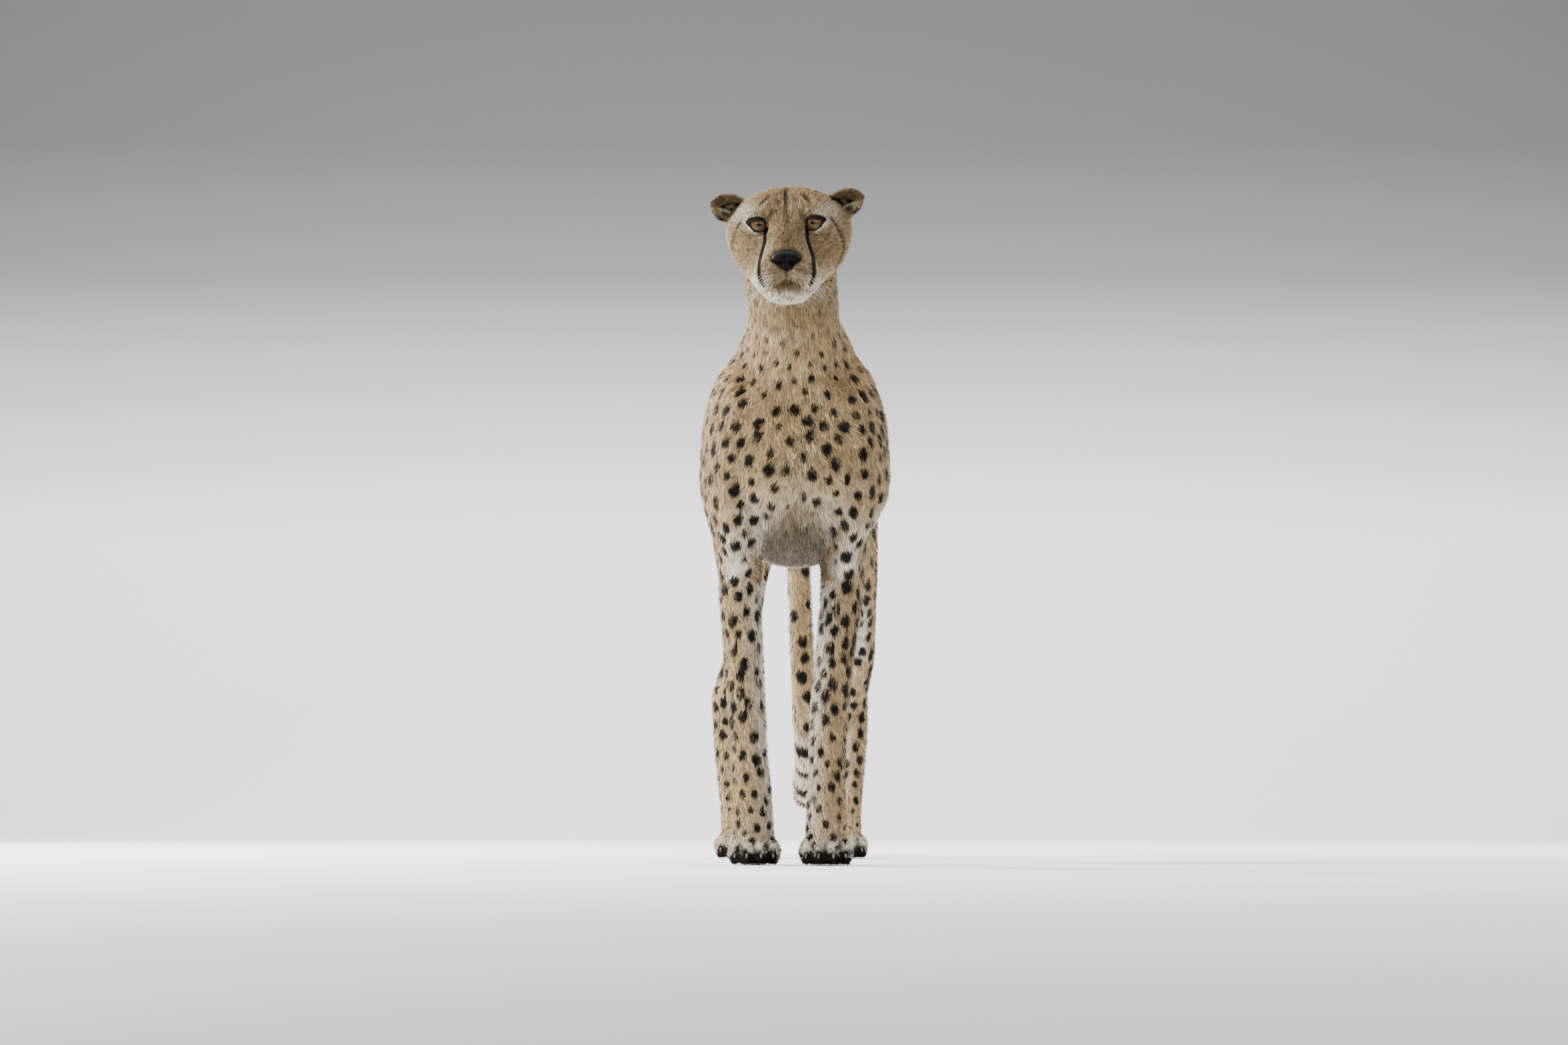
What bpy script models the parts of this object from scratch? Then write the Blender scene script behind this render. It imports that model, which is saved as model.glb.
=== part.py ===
"""A cheetah standing square and alert, life size, as a still museum figure.

Metres, +Z up. The animal faces -Y and +X is its left side. It stands on z = 0 and the origin
is the middle of the whole figure's footprint.

The flesh is lofted in sections, limb by limb, and joined into one skin-tight body. Thin cuts
then part that body where its parts are named. The eyes, nose leather and claws are pieces of
their own, set into beds in the flesh.
"""

import math
from typing import NamedTuple

import bmesh
import bpy
import numpy as np
from mathutils import Matrix, Vector

# ------------------------------------------------------------------ driving dimensions
WITHERS = 0.722  # height of the shoulder blades' tops
CROUP = 0.716  # height of the back over the hips
CHEST_FLOOR = 0.424  # height of the breastbone between the elbows
SHOULDER_WIDTH = 0.252  # across the points of the shoulders
HIP_WIDTH = 0.244  # across the thighs
TRUNK_LENGTH = 0.885  # breastbone's tip to rump
WHEELBASE = 0.655  # fore paw to hind paw
EYE_HEIGHT = 0.860  # the eye line above the floor
EYE_FORWARD = 0.178  # the eye line ahead of the fore paws
HEAD_ASIDE = -0.0115  # the face held a little to the right of the trunk's plane
SKULL_ASIDE = 0.0030  # and the back of the skull less so
HIP_ASIDE = 0.006  # the hips shifted to the left
HEAD_PITCH = math.radians(6.5)  # nose carried below the horizontal
HEAD_ROLL = math.radians(-1.6)  # left ear a little higher
HEAD_YAW = math.radians(-1.4)  # nose turned a little to the right
EYE_SPACING = 0.078  # between the eyeballs' centres
EYE_RADIUS = 0.0172
EYE_SET = 0.0040  # the eyeballs' centres ahead of the eye line
NOSE_RADII = Vector((0.0196, 0.0130, 0.0138))
NOSE_PLACE = Vector((0.0, -0.0785, -0.0490))  # from the eye line's middle
ELBOW = 0.372  # height of the elbows
FOREARM = 0.318  # elbow to the paw's root
DEWCLAW = 0.090  # height of the dewclaws
TAIL_RADIUS = 0.021

CUT = 0.0005  # width of a parting cut
BED = 0.0004  # clearance round an eye, the nose leather or a claw
CUP_SIDES = 20  # sides of the oval cut round a limb's root
VOXEL = 0.0032  # grain of the joined body
BROAD_SHARE = 0.0064  # of the joined body's triangles that are kept on broad forms
FACE_SHARE = 0.046  # on the head and ears
PAW_SHARE = 0.028  # and on the paws
RING_POINTS = 28
RING_STEPS = 5  # rings made between two given sections

FUR, DARK_SKIN, EYE, CLAW = "fur", "dark_skin", "eye", "claw"
FINISHES = {
    FUR: ((0.58, 0.44, 0.27), 0.85),
    DARK_SKIN: ((0.015, 0.013, 0.012), 0.45),
    EYE: ((0.28, 0.13, 0.03), 0.08),
    CLAW: ((0.33, 0.28, 0.22), 0.35),
}


class Section(NamedTuple):
    """One cross-section of a limb or trunk: its centre, half width, half depth and shape."""

    x: float
    y: float
    z: float
    wide: float
    deep: float
    taper: float = 0.0  # above 0, narrower on the upper (or rear) side
    square: float = 1.0  # under 1, squarer than an ellipse


# ------------------------------------------------------------------ scene and mesh helpers
def clear_scene():
    for old in list(bpy.data.objects):
        bpy.data.objects.remove(old, do_unlink=True)


def new_collection(name, hidden=False):
    made = bpy.data.collections.new(name)
    bpy.context.scene.collection.children.link(made)
    made.hide_render = hidden
    return made


def finish_material(name):
    found = bpy.data.materials.get(name)
    if found:
        return found
    colour, roughness = FINISHES[name]
    made = bpy.data.materials.new(name)
    made.use_nodes = True
    shader = made.node_tree.nodes["Principled BSDF"]
    shader.inputs["Base Color"].default_value = (*colour, 1.0)
    shader.inputs["Roughness"].default_value = roughness
    shader.inputs["Metallic"].default_value = 0.0
    return made


def object_of(bm, name, collection, finish=None):
    mesh = bpy.data.meshes.new(name)
    bmesh.ops.recalc_face_normals(bm, faces=bm.faces)
    bm.to_mesh(mesh)
    bm.free()
    made = bpy.data.objects.new(name, mesh)
    collection.objects.link(made)
    if finish:
        mesh.materials.append(finish_material(finish))
        mesh.shade_smooth()
    return made


def curve_through(rows, steps):
    """Rows of numbers on one smooth curve through the given rows (Catmull-Rom)."""
    rows = np.array(rows, float)
    padded = np.vstack([2 * rows[0] - rows[1], rows, 2 * rows[-1] - rows[-2]])
    out = []
    for i in range(len(rows) - 1):
        a, b, c, d = padded[i : i + 4]
        for t in np.linspace(0, 1, steps, endpoint=False):
            out.append(
                b + 0.5 * t * (c - a + t * (2 * a - 5 * b + 4 * c - d + t * (3 * (b - c) + d - a)))
            )
    out.append(rows[-1])
    return np.array(out)


def signed_power(values, power):
    return np.sign(values) * np.abs(values) ** power


def add_loft(bm, sections, matrix=None, upright=False):
    """A closed tube through the sections. Its width runs along X, its depth across the path
    or, for upright rings, along Z."""
    track = curve_through(sections, RING_STEPS)
    path = track[:, :3]
    tangents = np.gradient(path, axis=0)
    tangents[:, 0] = 0
    tangents /= np.linalg.norm(tangents, axis=1)[:, None]
    deep_axis = np.stack([np.zeros(len(path)), -tangents[:, 2], tangents[:, 1]], axis=1)
    if upright:
        deep_axis[:] = (0, 0, 1)
    turn = np.linspace(0, 2 * math.pi, RING_POINTS, endpoint=False)
    rings = []
    for row, across in zip(track, deep_axis):
        centre, (wide, deep, taper, square) = row[:3], row[3:]
        side = signed_power(np.cos(turn), square)
        rise = signed_power(np.sin(turn), square)
        ring = centre + np.outer(rise * max(deep, 1e-4), across)
        ring[:, 0] += side * max(wide, 1e-4) * (1 - taper * rise)
        rings.append([bm.verts.new(p) for p in ring])
    for low, high in zip(rings, rings[1:]):
        for i in range(RING_POINTS):
            j = (i + 1) % RING_POINTS
            bm.faces.new((low[i], low[j], high[j], high[i]))
    bm.faces.new(rings[0][::-1])
    bm.faces.new(rings[-1])
    if matrix is not None:
        bmesh.ops.transform(bm, matrix=matrix, verts=[v for ring in rings for v in ring])


def add_ellipsoid(bm, centre, radii, matrix=None, turn=None):
    """An ellipsoid; turn is a rotation in its own frame, applied before it is placed."""
    place = Matrix.Translation(centre) @ (turn or Matrix.Identity(4))
    place = (matrix or Matrix.Identity(4)) @ place @ Matrix.Diagonal((*radii, 1.0))
    bmesh.ops.create_uvsphere(bm, u_segments=24, v_segments=16, radius=1.0, matrix=place)


def head_matrix():
    """From the head's own frame (eye line's middle, level) to the figure."""
    return (
        Matrix.Translation((HEAD_ASIDE, -EYE_FORWARD, EYE_HEIGHT))
        @ Matrix.Rotation(HEAD_YAW, 4, "Z")
        @ Matrix.Rotation(HEAD_ROLL, 4, "Y")
        @ Matrix.Rotation(HEAD_PITCH, 4, "X")
    )


# ------------------------------------------------------------------ trunk, neck and tail
def trunk_sections():
    widest = SHOULDER_WIDTH / 2 - 0.025
    rows = (
        # y, back, underside, half width, taper
        (-0.118, 0.612, 0.528, 0.050, 0.00),
        (-0.105, 0.652, 0.482, 0.080, 0.00),
        (-0.070, 0.690, 0.445, 0.094, 0.02),
        (-0.020, 0.712, 0.426, widest - 0.004, 0.08),
        (0.050, WITHERS - 0.004, CHEST_FLOOR - 0.004, widest - 0.001, 0.16),
        (0.130, WITHERS - 0.016, CHEST_FLOOR - 0.008, widest, 0.14),
        (0.230, 0.692, 0.424, widest - 0.002, 0.10),
        (0.330, 0.692, 0.456, widest - 0.010, 0.05),
        (0.430, 0.703, 0.496, widest - 0.020, 0.03),
        (0.510, CROUP - 0.002, 0.520, 0.076, 0.06),
        (0.590, CROUP + 0.001, 0.530, 0.078, 0.10),
        (0.655, 0.703, 0.540, 0.074, 0.10),
        (0.700, 0.682, 0.560, 0.058, 0.06),
        (TRUNK_LENGTH - 0.155, 0.660, 0.592, 0.030, 0.00),
    )
    return [
        Section(
            HIP_ASIDE * min(1.0, max(0.0, (y - 0.25) / 0.25)), y, (back + under) / 2,
            half, (back - under) / 2, taper, 0.94,
        )
        for y, back, under, half, taper in rows
    ]


def neck_sections():
    return [
        Section(0.000, 0.085, 0.592, 0.092, 0.108),
        Section(0.001, 0.030, 0.655, 0.095, 0.100),
        Section(0.001, -0.028, 0.708, 0.078, 0.088),
        Section(-0.001, -0.045, 0.734, 0.0655, 0.080),
        Section(-0.003, -0.062, 0.762, 0.0625, 0.074),
        Section(-0.006, -0.084, 0.806, 0.0620, 0.068),
        Section(HEAD_ASIDE + 0.003, -0.102, 0.852, 0.0560, 0.056),
    ]


def tail_sections():
    full = TAIL_RADIUS
    return [
        Section(0.000, 0.690, 0.668, full * 1.55, full * 1.45),
        Section(0.000, 0.745, 0.652, full * 1.30, full * 1.25),
        Section(0.001, 0.795, 0.610, full * 1.10, full * 1.08),
        Section(0.003, 0.832, 0.540, full, full),
        Section(0.006, 0.852, 0.450, full * 0.96, full),
        Section(0.010, 0.866, 0.350, full * 0.94, full),
        Section(0.014, 0.884, 0.250, full * 0.94, full),
        Section(0.018, 0.918, 0.165, full * 0.96, full * 1.02),
        Section(0.020, 0.975, 0.110, full * 1.02, full * 1.08),
        Section(0.019, 1.045, 0.098, full * 1.04, full * 1.08),
        Section(0.016, 1.105, 0.124, full * 0.92, full * 0.92),
        Section(0.014, 1.135, 0.152, full * 0.42, full * 0.42),
    ]


# ------------------------------------------------------------------ legs
class Foot(NamedTuple):
    """Where a paw stands, the size of that paw, and how far out its elbow or hock is."""

    name: str
    x: float
    y: float
    width: float
    length: float
    joint: float


FORE_FEET = (
    Foot("right", -0.056, 0.004, 0.071, 0.098, -0.076),
    Foot("left", 0.042, -0.024, 0.073, 0.098, 0.065),
)
HIND_FEET = (
    Foot("right", -0.089, WHEELBASE + 0.004, 0.066, 0.094, -0.107),
    Foot("left", 0.077, WHEELBASE - 0.016, 0.066, 0.094, 0.092),
)


def foreleg_sections(foot):
    """Shoulder blade, upper arm and forearm down to the paw's root."""
    side = math.copysign(1.0, foot.x)
    point = SHOULDER_WIDTH / 2
    bow = 1.0 if side < 0 else 2.0  # above 1, the leg turns in just under the elbow
    shoulder = [
        Section(side * 0.046, 0.048, WITHERS - 0.012, 0.024, 0.044, 0, 1.1),
        Section(side * 0.070, 0.032, 0.668, 0.038, 0.078, 0, 1.2),
        Section(side * (point - 0.045), 0.002, 0.612, 0.046, 0.094, 0, 1.3),
        Section(side * (point - 0.040), -0.020, 0.560, 0.045, 0.092, 0, 1.3),
        Section(side * (point - 0.040), -0.020, 0.510, 0.045, 0.084, 0, 1.25),
        Section(foot.joint + side * 0.003, 0.002, 0.460, 0.038, 0.072, 0, 1.15),
        Section(foot.joint + side * 0.001, 0.022, 0.415, 0.032, 0.054, 0, 1.05),
        Section(foot.joint, 0.025, ELBOW, 0.0290, 0.040),
    ]
    forearm = []
    for share, wide, deep, ahead in (
        (0.18, 0.0285, 0.0340, 0.002),
        (0.45, 0.0268, 0.0285, 0.004),
        (0.70, 0.0258, 0.0250, 0.004),
        (0.83, 0.0275, 0.0275, 0.001),
        (0.93, 0.0270, 0.0250, -0.004),
        (1.05, 0.0282, 0.0235, -0.010),
    ):
        down = min(1.0, share)
        x = foot.x + (foot.joint - foot.x) * (1 - down) ** bow
        y = 0.027 + (foot.y + 0.012 - 0.027) * down + ahead
        forearm.append(Section(x, y, ELBOW - FOREARM * share, wide, deep))
    return shoulder + forearm


def hindleg_sections(foot):
    """Thigh, shank, hock and rear pastern down to the paw's root."""
    side = math.copysign(1.0, foot.x)
    out = HIP_WIDTH / 2
    hock = foot.y + 0.062
    thigh = [
        Section(side * 0.034, 0.600, 0.700, 0.026, 0.056, 0, 1.1),
        Section(side * 0.058, 0.608, 0.652, 0.040, 0.100, 0, 1.2),
        Section(side * (out - 0.052), 0.602, 0.592, 0.047, 0.118, 0, 1.25),
        Section(side * (out - 0.049), 0.582, 0.528, 0.047, 0.114, 0, 1.25),
        Section(side * (out - 0.044), 0.564, 0.468, 0.042, 0.092, 0, 1.15),
        Section(side * (out - 0.038), 0.574, 0.414, 0.035, 0.064, 0, 1.05),
        Section(side * (out - 0.034), 0.614, 0.362, 0.0290, 0.046),
        Section(side * (out - 0.030), hock - 0.050, 0.305, 0.0240, 0.0345),
    ]
    thigh = [part._replace(x=part.x + HIP_ASIDE) for part in thigh]
    below = []
    for share, back, z, wide, deep in (
        (0.96, -0.013, 0.255, 0.0220, 0.0290),
        (1.00, 0.000, 0.212, 0.0215, 0.0265),
        (0.85, -0.002, 0.160, 0.0205, 0.0215),
        (0.50, -0.012, 0.105, 0.0208, 0.0205),
        (0.10, -0.026, 0.065, 0.0235, 0.0220),
        (0.00, -0.040, 0.042, 0.0260, 0.0220),
    ):
        x = foot.x + (foot.joint - foot.x) * share
        below.append(Section(x, hock + back, z, wide, deep))
    return thigh + below


def toe_places(foot):
    """(x, y, share of full size) of the four toes' middles, from the inner toe out."""
    side = math.copysign(1.0, foot.x)
    reach = foot.length / 2 - 0.021
    return [
        (foot.x - side * 0.365 * foot.width, foot.y - reach + 0.013, 0.94),
        (foot.x - side * 0.135 * foot.width, foot.y - reach, 1.00),
        (foot.x + side * 0.135 * foot.width, foot.y - reach, 1.00),
        (foot.x + side * 0.365 * foot.width, foot.y - reach + 0.014, 0.92),
    ]


def add_paw(bm, foot):
    """Heel pad, instep and four toes. Each dips under the floor, where it is cut flat."""
    half = foot.width / 2
    for x, y, size in toe_places(foot):
        add_ellipsoid(bm, (x, y + 0.006, 0.018), (0.0108 * size, 0.0235 * size, 0.0185))
        add_ellipsoid(bm, (x, y - 0.010, 0.0115), (0.0098 * size, 0.0130 * size, 0.0136))
    add_ellipsoid(bm, (foot.x, foot.y + 0.016, 0.014), (half * 0.70, 0.026, 0.017))
    add_ellipsoid(bm, (foot.x, foot.y + 0.006, 0.030), (half * 0.80, 0.035, 0.023))


# ------------------------------------------------------------------ head
def head_sections():
    """Skull and muzzle from the lips to the back of the head, in the head's own frame."""
    rows = (
        # forward, top, bottom, half width, taper, square
        (0.0815, -0.040, -0.068, 0.0130, 0.00, 1.00),
        (0.0775, -0.034, -0.084, 0.0230, 0.05, 0.96),
        (0.0690, -0.028, -0.098, 0.0310, 0.16, 0.92),
        (0.0570, -0.0195, -0.103, 0.0360, 0.22, 0.90),
        (0.0430, -0.0100, -0.105, 0.0405, 0.22, 0.90),
        (0.0290, 0.0020, -0.105, 0.0460, 0.16, 0.90),
        (0.0150, 0.0190, -0.102, 0.0540, 0.04, 0.92),
        (-0.0020, 0.0350, -0.096, 0.0650, -0.04, 0.92),
        (-0.0220, 0.0460, -0.090, 0.0750, -0.08, 0.92),
        (-0.0460, 0.0515, -0.085, 0.0800, -0.10, 0.94),
        (-0.0720, 0.0450, -0.080, 0.0770, -0.10, 0.96),
        (-0.0960, 0.0260, -0.070, 0.0655, -0.06, 1.00),
        (-0.1170, -0.0040, -0.056, 0.0430, 0.00, 1.00),
    )
    return [
        Section(
            SKULL_ASIDE * min(1.0, max(0.0, -f / 0.045)), -f, (top + low) / 2,
            half, (top - low) / 2, taper, square,
        )
        for f, top, low, half, taper, square in rows
    ]


class Swell(NamedTuple):
    """A soft swelling or hollow of the face, on both sides: where, how wide, and which way."""

    place: tuple
    spread: tuple
    push: tuple


# the head's own frame: x outwards, -y forwards, z up, from the eye line's middle
FACE_SWELLS = (
    Swell((0.0370, -0.010, 0.0190), (0.015, 0.018, 0.0085), (0.0, -0.0090, 0.0020)),  # brow
    Swell((0.0430, -0.020, -0.0150), (0.014, 0.016, 0.0080), (0.0, 0.0040, 0.0)),  # under the eye
    Swell((0.0200, -0.026, -0.0080), (0.006, 0.018, 0.0120), (-0.001, 0.0040, 0.0)),  # canthus
    Swell((0.0560, -0.004, 0.0020), (0.009, 0.014, 0.0140), (0.002, -0.0070, 0.0)),  # temple
    Swell((0.0500, -0.018, -0.0240), (0.013, 0.016, 0.0100), (0.0, -0.0030, 0.0)),  # cheekbone
    Swell((0.0350, -0.045, -0.0300), (0.007, 0.020, 0.0090), (-0.003, 0.0020, 0.0)),  # bridge side
    Swell((0.0290, -0.064, -0.0640), (0.010, 0.014, 0.0120), (0.007, -0.0030, 0.0)),  # whiskers
    Swell((0.0130, -0.078, -0.0690), (0.008, 0.010, 0.0080), (0.0, -0.0045, 0.0)),  # upper lip
    Swell((0.0000, -0.076, -0.0460), (0.014, 0.012, 0.0110), (0.0, -0.0030, 0.0)),  # nose
    Swell((0.0000, -0.064, -0.0960), (0.015, 0.012, 0.0070), (0.0, -0.0050, -0.0020)),  # chin
    Swell((0.0330, -0.052, -0.0890), (0.010, 0.016, 0.0060), (-0.004, 0.0020, 0.002)),  # lip corner
    Swell((0.0750, 0.030, -0.0080), (0.012, 0.026, 0.0140), (0.004, 0.0, 0.0)),  # ruff
    Swell((0.0000, 0.000, 0.0420), (0.007, 0.020, 0.0120), (0.0, 0.0015, -0.0016)),  # forehead
)


def add_head(bm):
    add_loft(bm, head_sections(), matrix=head_matrix(), upright=True)


def swell_face(mesh):
    """Moves the joined surface by the swells of the face."""
    place = np.array(head_matrix())
    spots = points_of(mesh)
    local = (spots - place[:3, 3]) @ place[:3, :3]
    moved = np.zeros_like(local)
    for swell in FACE_SWELLS:
        sides = (1,) if swell.place[0] == 0 else (-1, 1)
        for side in sides:
            mirror = np.array((side, 1, 1))
            away = (local - np.array(swell.place) * mirror) / np.array(swell.spread)
            share = np.exp(-0.5 * (away**2).sum(axis=1))
            moved += share[:, None] * np.array(swell.push) * mirror
    spots += moved @ place[:3, :3].T
    mesh.vertices.foreach_set("co", spots.astype(np.float32).ravel())
    mesh.update()


EAR_LENGTH = {1: 0.055, -1: 0.049}  # from its root to its tip, left and right
EAR_LEAN = {1: 62, -1: 68}  # degrees out from upright
EAR_WIDTH = 0.038
EAR_DEPTH = 0.017
EAR_THICKNESS = 0.0058


def ear_matrix(side):
    """Ear's own frame: +Z from root to tip, -Y where the cup opens. It lies out to the side."""
    lie = Matrix.Rotation(side * math.radians(EAR_LEAN[side]), 4, "Y")
    face = Matrix.Rotation(side * math.radians(-12), 4, "Z")
    nod = Matrix.Rotation(math.radians(14), 4, "X")
    root = Matrix.Translation((side * 0.070, 0.048, 0.023))
    return head_matrix() @ root @ nod @ face @ lie


def ear_shell(side, collection):
    """A round cup, open to the front, thickened from one curved sheet."""
    bm = bmesh.new()
    grid = {}
    along, around = 12, 16
    for i in range(along + 1):
        rise = i / along
        reach = math.sin(math.pi * (0.20 + 0.80 * rise) ** 1.1)
        half = EAR_WIDTH / 2 * max(0.10, reach) ** 0.55
        for j in range(around + 1):
            turn = math.pi * (j / around)
            x = -math.cos(turn) * half
            hollow = math.sin(turn) * EAR_DEPTH * (1 - 0.75 * rise**2)
            point = Vector((x, hollow - 0.006, rise * EAR_LENGTH[side] - 0.010))
            grid[i, j] = bm.verts.new(ear_matrix(side) @ point)
    for i in range(along):
        for j in range(around):
            bm.faces.new((grid[i, j], grid[i, j + 1], grid[i + 1, j + 1], grid[i + 1, j]))
    made = object_of(bm, f"ear_form_{side}", collection)
    thick = made.modifiers.new("thickness", "SOLIDIFY")
    thick.thickness = EAR_THICKNESS
    thick.offset = 0.0
    return made


# ------------------------------------------------------------------ the joined body
def evaluated_mesh(obj):
    graph = bpy.context.evaluated_depsgraph_get()
    bpy.context.view_layer.update()
    return bpy.data.meshes.new_from_object(obj.evaluated_get(graph), depsgraph=graph)


def apply_modifiers(obj):
    mesh = evaluated_mesh(obj)
    obj.modifiers.clear()
    obj.data = mesh


def points_of(mesh):
    flat = np.empty(len(mesh.vertices) * 3, np.float32)
    mesh.vertices.foreach_get("co", flat)
    return flat.reshape(-1, 3).astype(float)


def fine_weights(points):
    """1 where the shape is small and has to stay crisp: head, ears and paws. 0 elsewhere."""
    head = np.array([HEAD_ASIDE, -EYE_FORWARD - 0.012, EYE_HEIGHT - 0.015])
    from_head = np.linalg.norm(points - head, axis=1)
    near_head = np.clip((0.138 - from_head) / 0.030, 0, 1)
    near_floor = np.clip((0.075 - points[:, 2]) / 0.030, 0, 1) * (points[:, 1] < 0.80)
    return np.maximum(near_head, near_floor)


def weight_group(obj, name, weights):
    group = obj.vertex_groups.new(name=name)
    levels = np.round(weights * 10).astype(int)
    for level in range(1, 11):
        members = np.nonzero(levels == level)[0].tolist()
        if members:
            group.add(members, level / 10, "REPLACE")


def joined_body(collection):
    """All the flesh as one closed surface, smoothed where the forms meet, flat under the paws."""
    bm = bmesh.new()
    add_loft(bm, trunk_sections())
    add_loft(bm, neck_sections())
    add_loft(bm, tail_sections())
    for foot in FORE_FEET:
        add_loft(bm, foreleg_sections(foot))
        add_paw(bm, foot)
    for foot in HIND_FEET:
        add_loft(bm, hindleg_sections(foot))
        add_paw(bm, foot)
    add_head(bm)
    for side in (-1, 1):
        ear = ear_shell(side, collection)
        bm.from_mesh(evaluated_mesh(ear))
        bpy.data.objects.remove(ear)
    body = object_of(bm, "body", collection)
    remesh = body.modifiers.new("join", "REMESH")
    remesh.mode = "VOXEL"
    remesh.voxel_size = VOXEL
    apply_modifiers(body)
    spots = points_of(body.data)
    fine = fine_weights(spots)
    weight_group(body, "broad", 1 - fine)
    trunk = np.clip((spots[:, 2] - 0.36) / 0.10, 0, 1) * np.clip((0.80 - spots[:, 1]) / 0.05, 0, 1)
    weight_group(body, "trunk", trunk * (1 - fine))
    for group, factor, rounds in (("trunk", 0.7, 60), ("broad", 0.6, 14), ("", 0.5, 4)):
        smooth = body.modifiers.new("smooth", "SMOOTH")
        smooth.factor = factor
        smooth.iterations = rounds
        smooth.vertex_group = group
    apply_modifiers(body)
    swell_face(body.data)
    for share, region in ((BROAD_SHARE, is_broad), (FACE_SHARE, is_face), (PAW_SHARE, is_paw)):
        thin_out(body, share, region)
    level_soles(body)
    return body


def is_broad(points):
    return fine_weights(points) <= 0.5


def is_face(points):
    return (fine_weights(points) > 0.5) & (points[:, 2] > 0.3)


def is_paw(points):
    return (fine_weights(points) > 0.5) & (points[:, 2] < 0.3)


def thin_out(body, share, region):
    """Leaves this share of the triangles within one region, and the others as they are."""
    body.vertex_groups.clear()
    chosen = region(points_of(body.data))
    weight_group(body, "chosen", chosen.astype(float))
    body.data.calc_loop_triangles()
    corners = np.empty(len(body.data.loop_triangles) * 3, np.int32)
    body.data.loop_triangles.foreach_get("vertices", corners)
    touched = chosen[corners].reshape(-1, 3).any(axis=1).mean()
    thin = body.modifiers.new("thin", "DECIMATE")
    thin.ratio = 1 - touched * (1 - share)
    thin.vertex_group = "chosen"
    apply_modifiers(body)
    body.vertex_groups.clear()


def level_soles(body):
    """Cuts the body off at the floor, which leaves a small flat under each toe and heel."""
    bm = bmesh.new()
    bm.from_mesh(body.data)
    bmesh.ops.bisect_plane(
        bm, geom=bm.verts[:] + bm.edges[:] + bm.faces[:], plane_co=(0, 0, 0),
        plane_no=(0, 0, 1), clear_inner=True,
    )
    rim = [e for e in bm.edges if e.is_boundary]
    bmesh.ops.holes_fill(bm, edges=rim, sides=0)
    bmesh.ops.triangulate(bm, faces=bm.faces)
    bmesh.ops.recalc_face_normals(bm, faces=bm.faces)
    bm.to_mesh(body.data)
    bm.free()


# ------------------------------------------------------------------ eyes, nose and claws
def eye_centre(side):
    return head_matrix() @ Vector((side * EYE_SPACING / 2, -EYE_SET, 0.0))


def eyeball(side, grow, name, collection, finish=None):
    bm = bmesh.new()
    place = Matrix.Translation(eye_centre(side)) @ Matrix.Rotation(math.pi / 2, 4, "X")
    bmesh.ops.create_uvsphere(
        bm, u_segments=14, v_segments=9, radius=EYE_RADIUS + grow, matrix=place
    )
    return object_of(bm, name, collection, finish)


def nose_leather(grow, name, collection, finish=None):
    """A pad broad above and narrow below, hollowed at each side for the nostril."""
    bm = bmesh.new()
    bmesh.ops.create_uvsphere(bm, u_segments=14, v_segments=8, radius=1.0)
    radii = NOSE_RADII + Vector((grow, grow, grow))
    for vert in bm.verts:
        x, y, z = vert.co
        narrow = 1 - 0.42 * max(0.0, -z) - 0.10 * max(0.0, z)
        lift = 0.0012 * (x / 0.8) ** 2 * (z > 0)
        vert.co = Vector((x * radii.x * narrow, y * radii.y, z * radii.z - lift))
    place = head_matrix() @ Matrix.Translation(NOSE_PLACE)
    bmesh.ops.transform(bm, matrix=place, verts=bm.verts)
    return object_of(bm, name, collection, finish)


CLAW_SIDES = 6
CLAW_ROWS = (
    # forward, up, half width, half height
    (-0.0045, 0.0010, 0.0020, 0.0028),
    (0.0000, 0.0012, 0.0021, 0.0027),
    (0.0045, 0.0000, 0.0017, 0.0021),
    (0.0085, -0.0034, 0.0007, 0.0009),
)


def claw_of(place, size, grow, name, collection, finish=None):
    """A short blunt claw, curved down, its root inside the toe."""
    bm = bmesh.new()
    rings = []
    for forward, up, wide, high in CLAW_ROWS:
        ring = []
        for i in range(CLAW_SIDES):
            turn = math.tau * i / CLAW_SIDES
            x = math.cos(turn) * (wide * size + grow)
            z = math.sin(turn) * (high * size + grow)
            ahead = forward * size + math.copysign(grow, forward + 1e-6)
            ring.append(bm.verts.new(place @ Vector((x, -ahead, up * size + z))))
        rings.append(ring)
    for low, high in zip(rings, rings[1:]):
        for i in range(CLAW_SIDES):
            j = (i + 1) % CLAW_SIDES
            bm.faces.new((low[i], low[j], high[j], high[i]))
    bm.faces.new(rings[0][::-1])
    bm.faces.new(rings[-1])
    return object_of(bm, name, collection, finish)


def claw_places(foot, is_fore):
    """(matrix, size) of each claw, from the inner toe out, the dewclaw last on a fore paw."""
    side = math.copysign(1.0, foot.x)
    found = []
    for i, (x, y, size) in enumerate(toe_places(foot)):
        splay = Matrix.Rotation(side * math.radians(4 * (i - 1.5)), 4, "Z")
        found.append((Matrix.Translation((x, y - 0.0215, 0.0135)) @ splay, 0.95 * size))
    if is_fore:
        turn = Matrix.Rotation(side * math.radians(-50), 4, "Z")
        nod = Matrix.Rotation(math.radians(35), 4, "X")
        place = Matrix.Translation((foot.x - side * 0.0180, foot.y - 0.0075, DEWCLAW))
        found.append((place @ turn @ nod, 1.05))
    return found


# ------------------------------------------------------------------ parting the body
CLEAR = 0.30  # a cutter's reach past the flesh on both sides
SLIVER = 8  # corners; what a cut leaves smaller than this is dropped
FLAT = math.radians(0.4)  # faces nearer to one plane than this are one face
CREASE = math.radians(40)  # edges sharper than this are shown sharp


class Plane(NamedTuple):
    """A cut across the flesh: its middle, the way it faces, and its two half spans."""

    middle: tuple
    facing: tuple
    spans: tuple


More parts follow.
